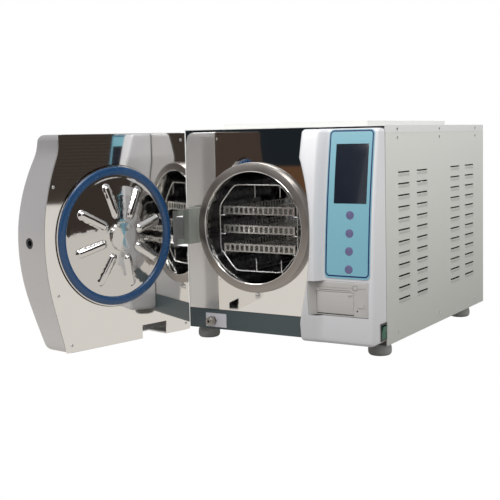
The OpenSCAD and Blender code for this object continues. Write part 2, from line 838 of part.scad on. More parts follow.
// block on the front plate with two lugs that reach forward to the pivot inside the door
module hinge_block() {
    z0 = chamber_z - hinge_half_h;
    z1 = chamber_z + hinge_half_h;
    lug_h = hinge_half_h - knuckle_half_h - 0.5;
    color("darkgray") in_cabinet() difference() {
        union() {
            box([hinge_block_x0, hinge_block_y, z0], [hinge_block_x1, -0.1, z1]);
            for (z = [z0, z1 - lug_h]) {
                translate([hinge_x, hinge_y, z]) cylinder(h = lug_h, r = knuckle_r);
                box([hinge_x - knuckle_r, hinge_y, z],
                    [hinge_block_x0 + 2, hinge_block_y + 8, z + lug_h]);
            }
        }
        translate([hinge_x, hinge_y, z0 - 1]) cylinder(h = 2 * hinge_half_h + 2, r = pin_r);
    }
}

module hinge_pin() {
    color("silver") in_cabinet() translate([hinge_x, hinge_y, chamber_z - hinge_half_h])
        cylinder(h = 2 * hinge_half_h, r = pin_r - 0.005);
}

// knuckle and plate at the pivot, and the bridge across the door that carries the pressure disc
module door_arm() {
    z0 = chamber_z - knuckle_half_h;
    z1 = chamber_z + knuckle_half_h;
    color("lightslategray") on_door() difference() {
        union() {
            translate([hinge_x, hinge_y, z0]) cylinder(h = z1 - z0, r = knuckle_r);
            box([hinge_x - 8, hinge_y, z0], [hinge_block_x1 + 1, hinge_block_y - 2, z1]);
            box([hinge_x, hinge_y - 8, z0], [hinge_x + 18, hinge_y + 8, z1]);
            box([hinge_block_x0 + 4, hinge_block_y - 6, chamber_z - hinge_half_h],
                [hinge_block_x1 + 1, hinge_block_y - 2, chamber_z + hinge_half_h]);
            box([hinge_block_x0 + 4, bridge_y0, chamber_z - 30], [84, bridge_y1, chamber_z + 30]);
            rod_y(chamber_x, bridge_y0 + 10, door_y - 12, chamber_z, 22);
        }
        translate([hinge_x, hinge_y, z0 - 1]) cylinder(h = z1 - z0 + 2, r = pin_r + run_fit);
        rod_y(chamber_x, bridge_y0 - 1, door_y, chamber_z, 9 + run_fit);
    }
}

// side profile of the door between its inner plane and the bulged front, in flats along an arc
module door_profile(inset) {
    mid_z = (door_top + door_bottom) / 2;
    full = (door_top - door_bottom) / 2;
    half = full - inset;
    rise = (door_mid_t - door_end_t) * half / full;
    r = (half * half + rise * rise) / (2 * rise);
    mid_y = door_y - door_mid_t + inset;
    polygon(concat([for (k = [-door_flats : door_flats]) let(dz = half * k / door_flats)
        [mid_y + r - sqrt(r * r - dz * dz), mid_z + dz]],
        [[door_y - 1.6, mid_z + half], [door_y - 1.6, mid_z - half]]));
}

module door_solid(inset) {
    intersection() {
        slab_yz(door_left + inset, 140) door_profile(inset);
        edge_solid(inset);
    }
}

module door_shell() {
    color("lightgray") on_door() difference() {
        door_solid(0);
        door_solid(door_wall);
        box([notch_x0, door_y - 60, door_bottom - 1], [notch_x1, door_y + 1, notch_z]);
        box([door_left - 1, hinge_y - 15, chamber_z - hinge_half_h - 1.5],
            [door_left + 17, door_y + 1, chamber_z + hinge_half_h + 1.5]);
        rod_x(60, 160, bolt_y, edge_mid_z, socket_r + 0.1);
    }
}

module door_inner_panel() {
    color("slategray") on_door() difference() {
        intersection() {
            box([door_left + 1, door_y - 1.5, door_bottom + 1], [130, door_y, door_top - 1]);
            edge_solid(1);
        }
        rod_y(chamber_x, door_y - 3, door_y + 2, chamber_z, flange_r + 4.5);
        box([door_left - 1, door_y - 3, chamber_z - hinge_half_h - 1],
            [hinge_block_x1 + 3, door_y + 1, chamber_z + hinge_half_h + 1]);
        box([notch_x0, door_y - 3, door_bottom - 1], [notch_x1, door_y + 1, notch_z]);
        for (p = door_screw_xz) rod_y(p[0], door_y - 3, door_y + 1, p[1], 1.9);
    }
}

module door_screws() {
    color("silver") on_door() for (p = door_screw_xz) {
        rod_y(p[0], door_y + 0.05, door_y + 1.6, p[1], 3.2);
        rod_y(p[0], door_y - 12, door_y + 0.2, p[1], 1.7);
    }
}

// dished disc with a raised centre, a stud behind it and eight radial beads
module pressure_disc() {
    color("silver") on_door() {
        turned_y(chamber_x, chamber_z) {
            polygon([[0, disc_y + 24], [24, disc_y + 24], [32, disc_y + 19], [60, disc_y + 16],
                [95, disc_y + 10], [120, disc_y], [flange_r + 3, disc_y], [flange_r + 3, disc_y - 4],
                [118, disc_y - 4], [92, disc_y + 6], [60, disc_y + 12], [30, disc_y + 14],
                [9, disc_y + 14], [9, -82], [0, -82]]);
        }
        for (k = [0 : 7]) translate([chamber_x, 0, chamber_z]) rotate([0, 16 - 45 * k, 0])
            translate([42, disc_y + 15, 0]) rotate([0, 0, -9]) rotate([0, 90, 0]) cylinder(h = 58, r = 7);
    }
}

module gasket() {
    y1 = -flange_out - gap;
    color("royalblue") on_door() turned_y(chamber_x, chamber_z) polygon([
        [flange_r - 16, disc_y + 0.05], [flange_r, disc_y + 0.05], [flange_r + 0.5, y1 - 2],
        [flange_r - 1.5, y1], [flange_r - 13, y1], [flange_r - 16, y1 - 2]]);
}

// bush in the free edge of the door that takes the lock bolt
module lock_socket() {
    socket_x = bolt_tip_x - bolt_travel - 10;
    color("black") on_door() intersection() {
        difference() {
            rod_x(socket_x - 5, 140, bolt_y, edge_mid_z, socket_r);
            rod_x(socket_x, 150, bolt_y, edge_mid_z, bolt_r + 0.8);
        }
        edge_solid(0.6);
    }
}

// ---------------------------------------------------------------- rack and trays

// eight-sided outline of the rack's end frames, moved inward by an amount
module rack_octagon(inset) {
    x = 100 - inset;
    z = rack_half_h - inset;
    cut = 0.41 * inset;
    polygon([[-x, -50 + cut], [-60 + cut, -z], [60 - cut, -z], [x, -50 + cut],
        [x, 50 - cut], [60 - cut, z], [-60 + cut, z], [-x, 50 - cut]]);
}

// end frame of the rack
module rack_ring(y) {
    slab_xz(y - rack_wire, y + rack_wire) translate([chamber_x, rack_z]) difference() {
        rack_octagon(-rack_wire);
        rack_octagon(rack_wire);
    }
}

module tray_rack() {
    color("silver") in_cabinet() {
        for (y = [rack_y0, rack_y1]) rack_ring(y);
        for (x = [-6, 58], z = [rack_z - rack_half_h, rack_z + rack_half_h - rack_stub])
            translate([chamber_x + x, rack_y0, z]) cylinder(h = rack_stub, r = rack_wire - 0.5);
        for (sx = [-1, 1]) {
            for (z = [-rack_half_h, rack_half_h], x = [24, 60])
                rod_y(chamber_x + sx * x, rack_y0, rack_y1, rack_z + z, rack_wire);
            for (z = tray_z) {
                rod_y(chamber_x + sx * 97, rack_y0, rack_y1, z - 3.5, rack_wire);
                rod_y(chamber_x + sx * 88, rack_y0, rack_y1, z - 12.7, rack_wire);
                for (y = [rack_y0, rack_y1])
                    box([min(sx * 88, sx * 98) + chamber_x, y - 1.5, z - 14],
                        [max(sx * 88, sx * 98) + chamber_x, y + 1.5, z - 11]);
            }
        }
    }
}

// shallow tray with a slotted floor, at one of the three levels
module tray(z) {
    color("gainsboro") in_cabinet() difference() {
        box([chamber_x - tray_half_w, tray_y0, z - 10.5], [chamber_x + tray_half_w, tray_y1, z + 7]);
        box([chamber_x - tray_half_w + 1, tray_y0 + 1, z - 9.5],
            [chamber_x + tray_half_w - 1, tray_y1 - 1, z + 8]);
        for (k = [0 : 9], j = [0 : 2])
            box([chamber_x - 76 + 16 * k, tray_y0 + 18 + 90 * j, z - 12],
                [chamber_x - 68 + 16 * k, tray_y0 + 92 + 90 * j, z - 9]);
    }
}

module tray_1() {
    tray(tray_z[0]);
}

module tray_2() {
    tray(tray_z[1]);
}

module tray_3() {
    tray(tray_z[2]);
}

base_pan();
left_side_panel();
right_side_panel();
top_cover();
top_rails();
tank_lid();
lid_hinges();
rear_panel();
front_frame();
front_plate();
base_strip();
feet();
cabinet_screws();
chamber_flange();
pressure_vessel();
insulation_jacket();
vessel_saddle();
door_sensor();
safety_valve();
steam_generator();
vacuum_pump();
condenser();
fan_housing();
fan_rotor();
water_tank();
control_board();
power_inlet();
exhaust_port();
copper_pipes();
drain_plate();
drain_connector();
drain_sleeve();
fascia();
membrane_panel();
display();
button_1();
button_2();
button_3();
button_4();
printer_frame();
printer_door();
paper_roll();
feed_button();
switch_bezel();
switch_rocker();
lock_actuator();
lock_bolt();
hinge_block();
hinge_pin();
door_arm();
door_shell();
door_inner_panel();
pressure_disc();
gasket();
lock_socket();
tray_rack();
tray_1();
tray_2();
tray_3();
door_screws();
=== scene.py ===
"""Benchtop autoclave with its door open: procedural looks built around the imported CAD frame."""

import json
import math

import bmesh
import bpy
from mathutils import Matrix, Vector


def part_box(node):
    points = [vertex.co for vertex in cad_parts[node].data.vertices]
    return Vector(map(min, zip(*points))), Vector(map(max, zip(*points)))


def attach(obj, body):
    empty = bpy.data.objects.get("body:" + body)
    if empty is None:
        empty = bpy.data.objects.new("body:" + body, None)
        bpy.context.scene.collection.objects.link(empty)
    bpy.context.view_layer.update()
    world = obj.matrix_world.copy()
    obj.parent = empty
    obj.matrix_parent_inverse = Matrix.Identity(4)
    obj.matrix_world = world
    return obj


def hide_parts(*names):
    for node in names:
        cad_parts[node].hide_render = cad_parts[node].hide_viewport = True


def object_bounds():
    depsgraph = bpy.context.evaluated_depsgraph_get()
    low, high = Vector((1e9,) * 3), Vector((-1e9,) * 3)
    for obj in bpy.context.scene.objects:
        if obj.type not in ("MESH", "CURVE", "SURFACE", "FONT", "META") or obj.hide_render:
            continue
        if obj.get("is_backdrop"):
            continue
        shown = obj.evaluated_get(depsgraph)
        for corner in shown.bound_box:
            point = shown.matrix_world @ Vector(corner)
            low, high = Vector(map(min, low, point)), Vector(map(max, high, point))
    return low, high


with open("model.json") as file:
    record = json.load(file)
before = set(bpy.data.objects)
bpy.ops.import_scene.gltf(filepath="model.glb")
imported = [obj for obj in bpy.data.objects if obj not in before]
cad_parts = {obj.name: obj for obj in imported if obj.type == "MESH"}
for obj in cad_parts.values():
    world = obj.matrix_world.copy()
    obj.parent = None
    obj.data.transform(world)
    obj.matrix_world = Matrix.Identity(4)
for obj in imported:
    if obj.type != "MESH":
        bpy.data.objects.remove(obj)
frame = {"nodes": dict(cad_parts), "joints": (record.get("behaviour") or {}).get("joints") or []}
bounds_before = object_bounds()
nodes = frame["nodes"]
joint = {j["name"]: j for j in frame["joints"]}

MM = 0.001
FRONT_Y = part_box("front_plate")[0].y
HINGE = joint["door_hinge"]["pos_m"]
OPEN = math.radians(joint["door_hinge"]["range_deg"][1])
CHAMBER_X = (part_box("chamber_flange")[0].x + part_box("chamber_flange")[1].x) / 2 / MM
CHAMBER_Z = (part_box("chamber_flange")[0].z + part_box("chamber_flange")[1].z) / 2 / MM
DOOR_Y = -24.0
EDGE_MID_Z = 258.0
LOCK_Y = -72.0

# Pieces are drawn in millimetres with the door shut: Y is 0 at the front plate and falls towards the viewer.
IN_PLACE = Matrix.Identity(4)
CABINET = Matrix.Translation((0, FRONT_Y, 0)) @ Matrix.Scale(MM, 4)
HINGE_MM = Vector((HINGE[0] / MM, (HINGE[1] - FRONT_Y) / MM, 0))
DOOR = (
    CABINET
    @ Matrix.Translation(HINGE_MM)
    @ Matrix.Rotation(-OPEN, 4, "Z")
    @ Matrix.Translation(-HINGE_MM)
)


# ---------------------------------------------------------------- materials


def add_node(tree, kind, **inputs):
    """New shader node. Each named input takes a plain value or the output of another node."""
    node = tree.nodes.new("ShaderNode" + kind)
    for key, value in inputs.items():
        socket = node.inputs[key.replace("_", " ")]
        if isinstance(value, bpy.types.NodeSocket):
            tree.links.new(value, socket)
        else:
            socket.default_value = value
    return node


def scale_colour(tree, colour, factor):
    """Output of a node that multiplies a colour, given as a value or as an output, by an output."""
    scaled = add_node(tree, "VectorMath")
    scaled.operation = "SCALE"
    tree.links.new(factor, scaled.inputs["Scale"])
    if isinstance(colour, tuple):
        scaled.inputs[0].default_value = colour
    else:
        tree.links.new(colour, scaled.inputs[0])
    return scaled.outputs["Vector"]


def object_axes(tree):
    """Outputs X, Y and Z of the shaded point in the object's own frame, in metres."""
    coord = add_node(tree, "TexCoord")
    return add_node(tree, "SeparateXYZ", Vector=coord.outputs["Object"]).outputs


def principled(name, colour, rough, metal=0.0, **inputs):
    """Principled material with noise in its colour and roughness, and a fine bump."""
    spread = inputs.pop("spread", 0.04)
    scale = inputs.pop("scale", 60.0)
    bump = inputs.pop("bump", 0.02)
    rough_spread = inputs.pop("rough_spread", 0.05)
    m = bpy.data.materials.new(name)
    m.use_nodes = True
    tree = m.node_tree
    node = tree.nodes["Principled BSDF"]
    place = add_node(tree, "TexCoord").outputs["Object"]
    noise = add_node(tree, "TexNoise", Vector=place, Scale=scale, Detail=4).outputs["Fac"]
    mottle = add_node(tree, "MapRange", Value=noise, To_Min=1 - spread, To_Max=1 + spread)
    tree.links.new(scale_colour(tree, colour, mottle.outputs["Result"]), node.inputs["Base Color"])
    least = max(0.01, rough - rough_spread)
    grain = add_node(tree, "MapRange", Value=noise, To_Min=least, To_Max=rough + rough_spread)
    tree.links.new(grain.outputs["Result"], node.inputs["Roughness"])
    node.inputs["Metallic"].default_value = metal
    if bump:
        bumper = add_node(tree, "Bump", Strength=bump, Distance=MM, Height=noise)
        tree.links.new(bumper.outputs["Normal"], node.inputs["Normal"])
    for key, value in inputs.items():
        node.inputs[key.replace("_", " ")].default_value = value
    return m


M = {
    "mirror": principled(
        "polished plate", (0.91, 0.90, 0.88), 0.04, 1.0, spread=0.01, scale=6, bump=0.012, rough_spread=0.01
    ),
    "disc": principled(
        "polished disc", (0.74, 0.73, 0.71), 0.07, 1.0, spread=0.02, scale=22, bump=0.5, rough_spread=0.02
    ),
    "flange": principled("turned steel", (0.40, 0.37, 0.345), 0.33, 1.0, spread=0.05, scale=40, bump=0.02),
    "lip": principled("bright lip", (0.90, 0.89, 0.87), 0.10, 1.0, spread=0.02),
    "vessel": principled("vessel steel", (0.42, 0.43, 0.45), 0.16, 1.0, spread=0.08, scale=14, bump=0.03),
    "wire": principled("bright wire", (0.62, 0.62, 0.61), 0.20, 1.0, spread=0.04, scale=90),
    "tray": principled("tray metal", (0.74, 0.73, 0.70), 0.27, 1.0, spread=0.05, scale=50),
    "zinc": principled("zinc sheet", (0.60, 0.61, 0.62), 0.35, 1.0, spread=0.10, scale=35),
    "bright": principled("bright fastener", (0.72, 0.72, 0.72), 0.22, 1.0, spread=0.05, scale=120),
    "side": principled("side paint", (0.70, 0.71, 0.66), 0.42, spread=0.015, scale=900, bump=0.10),
    "lacquer": principled(
        "silver lacquer", (0.53, 0.515, 0.51), 0.24, 0.35, spread=0.02, scale=700, bump=0.01,
        Coat_Weight=0.5, Coat_Roughness=0.08
    ),
    "white": principled(
        "white lacquer", (0.72, 0.72, 0.735), 0.22, spread=0.012, scale=400, bump=0.01,
        Coat_Weight=0.5, Coat_Roughness=0.06
    ),
    "top": principled("top paint", (0.76, 0.765, 0.74), 0.36, spread=0.012, scale=900, bump=0.06),
    "grey": principled(
        "light grey plastic", (0.455, 0.44, 0.42), 0.38, spread=0.03, scale=300, bump=0.05
    ),
    "strip": principled("dark strip", (0.058, 0.082, 0.088), 0.32, spread=0.05, scale=160),
    "foot": principled("foot rubber", (0.29, 0.30, 0.28), 0.60, spread=0.12, scale=220, bump=0.12),
    "black": principled("black plastic", (0.018, 0.018, 0.020), 0.38, spread=0.2, scale=240, bump=0.05),
    "gasket": principled(
        "blue silicone", (0.010, 0.056, 0.150), 0.26, spread=0.10, scale=120, Coat_Weight=0.4
    ),
    "screen": principled(
        "screen glass", (0.012, 0.016, 0.026), 0.10, spread=0.1, scale=20, bump=0, Coat_Weight=0.6
    ),
    "key": principled("violet key", (0.13, 0.12, 0.25), 0.40, spread=0.15, scale=500, bump=0.05),
    "lilac": principled("pale plate", (0.68, 0.675, 0.71), 0.35, spread=0.03, scale=200),
    "green": principled("green rocker", (0.0, 0.10, 0.05), 0.42, spread=0.1, scale=120),
    "hinge": principled("hinge paint", (0.34, 0.37, 0.33), 0.36, 0.1, spread=0.04, scale=260),
    "copper": principled("copper", (0.72, 0.38, 0.24), 0.28, 1.0, spread=0.12, scale=60),
    "brass": principled("brass", (0.72, 0.55, 0.24), 0.28, 1.0, spread=0.08, scale=60),
    "wool": principled("fibre blanket", (0.62, 0.52, 0.33), 0.85, spread=0.2, scale=140, bump=0.5),
    "board": principled("board", (0.02, 0.16, 0.07), 0.4, spread=0.2, scale=90),
    "tank": principled("tank plastic", (0.72, 0.74, 0.76), 0.4, spread=0.04, scale=60),
    "paper": principled("paper", (0.82, 0.80, 0.75), 0.7, spread=0.04, scale=200, bump=0.1),
    "led": principled("lamp", (0.03, 0.04, 0.03), 0.25, spread=0.1, scale=100),
}


def painted_light_ramp(look, axis, start, end, low, high):
    """Painted light and shade: scale a look's colour along one axis of the object, from low at start to high
    at end.
    """
    tree = M[look].node_tree
    colour = tree.nodes["Principled BSDF"].inputs["Base Color"]
    along = object_axes(tree)[axis]
    ramp = add_node(tree, "MapRange", Value=along, From_Min=start, From_Max=end, To_Min=low, To_Max=high)
    tree.links.new(scale_colour(tree, colour.links[0].from_socket, ramp.outputs["Result"]), colour)


# Painted shade: the side paint darkens towards the bottom, as if lit from above.
painted_light_ramp("side", "Z", 0.03, 0.45, 0.66, 1.02)
# Painted reflection and shade: the door shell darkens towards the top and lightens towards the bottom.
painted_light_ramp("lacquer", "Z", 0.06, 0.46, 1.20, 0.56)
# Painted reflected light: the door shell lightens along Y towards its hinge end.
painted_light_ramp("lacquer", "Y", -0.58, -0.42, 1.0, 1.85)
# Painted shade: the fascia darkens towards the bottom, as if lit from above.
painted_light_ramp("white", "Z", 0.04, 0.34, 0.76, 1.0)
# Painted shadow gap: a dark band along the fascia's back edge, where it meets the cabinet.
painted_light_ramp("white", "Y", FRONT_Y - 0.0022, FRONT_Y - 0.0016, 1.0, 0.12)

NAVY = (0.006, 0.024, 0.12, 1)


def panel_material():
    """Blue membrane with a navy line just inside its rounded outline."""
    m = principled("blue membrane", (0.19, 0.42, 0.50), 0.30, spread=0.02, scale=200, bump=0.01)
    tree = m.node_tree
    base = tree.nodes["Principled BSDF"].inputs["Base Color"]
    axes = object_axes(tree)

    def math_node(operation, *values):
        """Output of a Math node whose inputs are numbers or other outputs."""
        n = add_node(tree, "Math")
        n.operation = operation
        for socket, value in zip(n.inputs, values):
            if isinstance(value, float):
                socket.default_value = value
            else:
                tree.links.new(value, socket)
        return n.outputs[0]

    def over(value, centre, half):
        """How far a coordinate is beyond a half width, or 0 inside it."""
        away = math_node("ABSOLUTE", math_node("SUBTRACT", value, centre))
        return math_node("MAXIMUM", math_node("SUBTRACT", away, half), 0.0)

    radius, half_line = 0.008, 0.0015
    centre_x, centre_z, half_x, half_z = 0.1905, 0.322, 0.0475, 0.146
    px = over(axes["X"], centre_x, half_x - radius)
    pz = over(axes["Z"], centre_z, half_z - radius)
    dist = math_node("SQRT", math_node("ADD", math_node("MULTIPLY", px, px), math_node("MULTIPLY", pz, pz)))
    off = math_node("ABSOLUTE", math_node("SUBTRACT", dist, radius))
    line = math_node("LESS_THAN", off, half_line)
    blend = add_node(tree, "Mix")
    blend.data_type = "RGBA"
    tree.links.new(line, blend.inputs["Factor"])
    tree.links.new(base.links[0].from_socket, blend.inputs["A"])
    blend.inputs["B"].default_value = NAVY
    tree.links.new(blend.outputs["Result"], base)
    return m


M["panel"] = panel_material()

# ---------------------------------------------------------------- mesh helpers


def build(name, verts, faces, matrix, material, smooth=30.0):
    """Object from points and faces put in place by a matrix; smooth is the angle for shade, or 0 for flat."""
    mesh = bpy.data.meshes.new(name)
    mesh.from_pydata([tuple(matrix @ Vector(v)) for v in verts], [], faces)
    bm = bmesh.new()
    bm.from_mesh(mesh)
    bmesh.ops.remove_doubles(bm, verts=bm.verts, dist=1e-6)
    bmesh.ops.recalc_face_normals(bm, faces=bm.faces)
    bm.to_mesh(mesh)
    bm.free()
    obj = bpy.data.objects.new(name, mesh)
    bpy.context.scene.collection.objects.link(obj)
    mesh.materials.append(M[material])
    if smooth:
        shade(obj, smooth)
    return obj


def shade(obj, angle):
    """Smooth shading that keeps edges sharper than an angle in degrees."""
    mesh = obj.data
    for p in mesh.polygons:
        p.use_smooth = True
    mesh.set_sharp_from_angle(angle=math.radians(angle))


def stand_for(piece, node, body):
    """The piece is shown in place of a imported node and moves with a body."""
    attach(piece, body)
    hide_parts(node)


def join(name, parts, smooth=30.0):
    """One object from several built objects, each part keeping its material."""
    bpy.context.view_layer.update()
    bm = bmesh.new()
    mats = []
    for p in parts:
        start = len(bm.faces)
        bm.from_mesh(p.data)
        bm.faces.ensure_lookup_table()
        offset = {}
        for i, m in enumerate(p.data.materials):
            if m not in mats:
                mats.append(m)
            offset[i] = mats.index(m)
        for f in bm.faces[start:]:
            f.material_index = offset.get(f.material_index, 0)
    mesh = bpy.data.meshes.new(name)
    bm.to_mesh(mesh)
    bm.free()
    for m in mats:
        mesh.materials.append(m)
    obj = bpy.data.objects.new(name, mesh)
    bpy.context.scene.collection.objects.link(obj)
    for p in parts:
        bpy.data.objects.remove(p)
    if smooth:
        shade(obj, smooth)
    return obj


def circle(count):
    """Cosine and sine of evenly spaced angles, once round."""
    angles = [2 * math.pi * k / count for k in range(count)]
    return [(math.cos(a), math.sin(a)) for a in angles]


def loft(rows, cap=True):
    """Faces between closed rows of equally many points; caps close the first and last row."""
    verts = [p for row in rows for p in row]
    n = len(rows[0])
    faces = []
    for r in range(len(rows) - 1):
        for k in range(n):
            a, b = r * n + k, r * n + (k + 1) % n
            faces.append((a, b, b + n, a + n))
    if cap:
        faces.append(tuple(range(n))[::-1])
        faces.append(tuple(range((len(rows) - 1) * n, len(rows) * n)))
    return verts, faces


def ring(rows):
    """Faces between closed rows of equally many points, the last row joined to the first."""
    verts = [p for row in rows for p in row]
    n = len(rows[0])
    faces = []
    for s in range(len(rows)):
        t = (s + 1) % len(rows)
        for k in range(n):
            j = (k + 1) % n
            faces.append((s * n + k, s * n + j, t * n + j, t * n + k))
    return verts, faces


def turned(profile, x, z, segments=96):
    """Closed profile of (radius, y) points turned about an axis along Y through (x, z)."""
    return ring([[(x + r * c, y, z + r * s) for r, y in profile] for c, s in circle(segments)])


def block(low, high, round_by=0.6, steps=2):
    """Box between two corners, its edges rounded in a few steps, or sharp when round_by is 0."""
    bm = bmesh.new()
    bmesh.ops.create_cube(bm, size=1)
    for v in bm.verts:
        v.co = Vector([low[i] + (v.co[i] + 0.5) * (high[i] - low[i]) for i in range(3)])
    if round_by:
        bmesh.ops.bevel(bm, geom=bm.edges[:], offset=round_by, segments=steps, affect="EDGES", profile=0.5)
    bm.verts.index_update()
    verts = [tuple(v.co) for v in bm.verts]
    faces = [tuple(v.index for v in f.verts) for f in bm.faces]
    bm.free()
    return verts, faces


def tube(points, radius, segments=10, closed=False):
    """Round bar along a path."""
    pts = [Vector(p) for p in points]
    n = len(pts)
    rows = []
    up = None
    for i, p in enumerate(pts):
        if closed:
            before, after = pts[i - 1], pts[(i + 1) % n]
        else:
            before, after = pts[max(i - 1, 0)], pts[min(i + 1, n - 1)]
        t = (after - before).normalized()
        if up is None or abs(up.dot(t)) > 0.98:
            up = Vector((0, 0, 1)) if abs(t.z) < 0.9 else Vector((1, 0, 0))
        side = t.cross(up).normalized()
        up = side.cross(t).normalized()
        rows.append([tuple(p + radius * (c * side + d * up)) for c, d in circle(segments)])
    if closed:
        rows.append(rows[0])
        return loft(rows, cap=False)
    return loft(rows)


def arc_path(points, bend, steps=5):
    """Path with each inner corner replaced by an arc."""
    pts = [Vector(p) for p in points]
    out = [pts[0]]
    for a, b, c in zip(pts, pts[1:], pts[2:]):
        u, v = (a - b).normalized(), (c - b).normalized()
        r = min(bend, (a - b).length / 2, (c - b).length / 2)
        for k in range(steps + 1):
            t = k / steps
            out.append(b + u * r * (1 - t) ** 2 + v * r * t ** 2)
    out.append(pts[-1])
    return out


def merged(pieces):
    """One pair of points and faces from several."""
    verts, faces = [], []
    for v, f in pieces:
        base = len(verts)
        verts += list(v)
        faces += [tuple(i + base for i in face) for face in f]
    return verts, faces


def cut(obj, cutters):
    """Takes closed cutter meshes out of an object. Cut faces keep the object's material."""
    cutter = build("cutter", *merged(cutters), IN_PLACE, "black", 0)
    mod = obj.modifiers.new("cut", "BOOLEAN")
    mod.operation = "DIFFERENCE"
    mod.solver = "EXACT"
    mod.object = cutter
    mod.use_self = True
    bpy.context.view_layer.update()
    done = bpy.data.meshes.new_from_object(obj.evaluated_get(bpy.context.evaluated_depsgraph_get()))
    obj.modifiers.clear()
    obj.data = done
    bpy.data.objects.remove(cutter)


def prism_y(outline, y0, y1):
    """Outline of (x, z) points extruded along Y."""
    rows = [[(x, y, z) for x, z in outline] for y in (y0, y1)]
    return loft(rows)


def rod(axis, centre, a, b, radius, segments=48):
    """Closed cylinder along X or Y from a to b; centre gives the other two coordinates."""
    round_points = [(radius * c, radius * s) for c, s in circle(segments)]
    rows = []
    for t in (a, b):
        if axis == "x":
            rows.append([(t, centre[0] + u, centre[1] + w) for u, w in round_points])
        else:
            rows.append([(centre[0] + u, t, centre[1] + w) for u, w in round_points])
    return loft(rows)


# ---------------------------------------------------------------- shared curves

# The door's free edge and the fascia's left edge lean by this much from straight ahead.
LEAN = math.radians(4.8)


def ease(a, b, t):
    """Smooth step from 0 at a to 1 at b."""
    t = min(max((t - a) / (b - a), 0), 1)
    return t * t * (3 - 2 * t)


def arc(x, y, z, radius, start, sweep, steps):
    """Points of a level arc about (x, y), from an angle through a sweep."""
    out = []
    for j in range(steps + 1):
        a = start + sweep * j / steps
        out.append((x + radius * math.cos(a), y + radius * math.sin(a), z))
    return out


def edge_x(z):
    """Free edge of the door at a height: from the top an upright, a fillet, two arcs, then a straight run."""
    mid, end = 106.5, 67.5
    top, low, fillet = 427.0, 505.0, 70.0
    low_dz = 125.0
    dz = z - EDGE_MID_Z
    if dz < -low_dz:
        foot = math.sqrt(low ** 2 - low_dz ** 2)
        return mid - low + foot + (dz + low_dz) * low_dz / foot
    if dz < 0:
        return mid - low + math.sqrt(low ** 2 - dz ** 2)
    centre = end + fillet
    rise = math.sqrt((top + fillet) ** 2 - (centre - mid + top) ** 2)
    if dz < rise * top / (top + fillet):
        return mid - top + math.sqrt(top ** 2 - dz ** 2)
    if dz < rise:
        return centre - math.sqrt(fillet ** 2 - (dz - rise) ** 2)
    return end


def wall_x(z, y):
    """Free edge at a height and depth: the edge leans outward towards the front."""
    return edge_x(z) / math.cos(LEAN) + math.tan(LEAN) * (DOOR_Y - y)


def rounded_levels(z0, z1, radius, count, corner=6):
    """Heights with the inset that rounds the two ends."""
    out = []
    for j in range(corner + 1):
        a = math.pi / 2 * j / corner
        out.append((z0 + radius * (1 - math.cos(a)), radius * (1 - math.sin(a))))
    for k in range(1, count):
        out.append((z0 + radius + (z1 - z0 - 2 * radius) * k / count, 0.0))
    for j in range(corner, -1, -1):
        a = math.pi / 2 * j / corner
        out.append((z1 - radius * (1 - math.cos(a)), radius * (1 - math.sin(a))))
    return out


# ---------------------------------------------------------------- door shell

DOOR_LEFT, DOOR_DEPTH = -262.0, 94.0
DOOR_Z0, DOOR_Z1 = 34.0, 472.0
DOOR_WALL = 3.0


def door_front(z):
    """Depth of the bowed front face at a height."""
    half, rise, mid = 219.0, 23.0, 253.0
    r = (half ** 2 + rise ** 2) / (2 * rise)
    return DOOR_Y - DOOR_DEPTH + r - math.sqrt(r * r - (z - mid) ** 2)


def door_section(z, inset, back, radius):
    """Level outline of the door, inset all round, with rounded front corners and an open-angled free edge."""
    rc = max(radius - inset, 0.4)
    front = door_front(z) + inset
    left = DOOR_LEFT + inset
    slant_inset = inset / math.cos(LEAN)
    right_x = wall_x(z, front + rc) - slant_inset - rc
    pts = [(left, back, z)]
    pts += arc(left + rc, front + rc, z, rc, math.pi, math.pi / 2, 8)
    pts += arc(right_x, front + rc, z, rc, -math.pi / 2, math.pi / 2 + LEAN, 8)
    pts.append((wall_x(z, back) - slant_inset, back, z))
    return pts


def door_body(inset, back, radius):
    """Closed solid of the door's outline, inset all round and ending at a depth towards the cabinet."""
    rows = []
    for z, d in rounded_levels(DOOR_Z0 + inset, DOOR_Z1 - inset, radius, 44):
        rows.append(door_section(z, d + inset, back, radius + inset))
    return loft(rows)


def make_door_shell():
    """Hollow lacquered shell, open at the back, with its notch, hinge gap and lock hole."""
    shell = build("door_shell_look", *door_body(0, DOOR_Y - 1.6, 13), IN_PLACE, "lacquer", 0)
    inner = door_body(DOOR_WALL, DOOR_Y + 4, 10)
    notch = block((-193, DOOR_Y - 60, 20), (-127, DOOR_Y + 3, 63), 0)
    hinge_gap = block((-263, -78, 219.5), (-245, DOOR_Y + 2.5, 302.5), 0)
    hole = rod("x", (LOCK_Y, EDGE_MID_Z), 90, 150, 11.1)
    cut(shell, [inner])
    cut(shell, [notch, hinge_gap, hole])
    shell.data.transform(DOOR)
    shade(shell, 32)
    stand_for(shell, "door_shell", "door")


make_door_shell()

# ---------------------------------------------------------------- pressure disc and gasket


def disc_height(r):
    """How far the disc stands out of the door plane at a radius."""
    points = [(0, 22), (34, 21), (60, 18.5), (85, 15), (105, 11), (118, 7.5), (124, 5), (128, 4), (146, 4)]
    for (r0, h0), (r1, h1) in zip(points, points[1:]):
        if r <= r1:
            t = (r - r0) / (r1 - r0)
            return h0 + (h1 - h0) * t
    return 4.0


def rib_height(u, v):
    """Height at (u, v) of the eight ribs that stand round the disc like spokes."""
    first, last, half = 50, 103, 8.0
    edge, foot = 7.6, 9.6
    crown, foot_share = 6.4, 0.312
    height = 0.0
    for k in range(8):
        b = math.radians(-16 + 45 * k)
        along = u * math.cos(b) + v * math.sin(b)
        side = -u * math.sin(b) + v * math.cos(b)
        d = math.hypot(side, along - min(max(along, first), last))
        if d < edge:
            height += crown * math.sqrt(max(0, 1 - (d / half) ** 2))
        elif d < foot:
            height += crown * foot_share * (1 - ease(edge, foot, d))
    return height


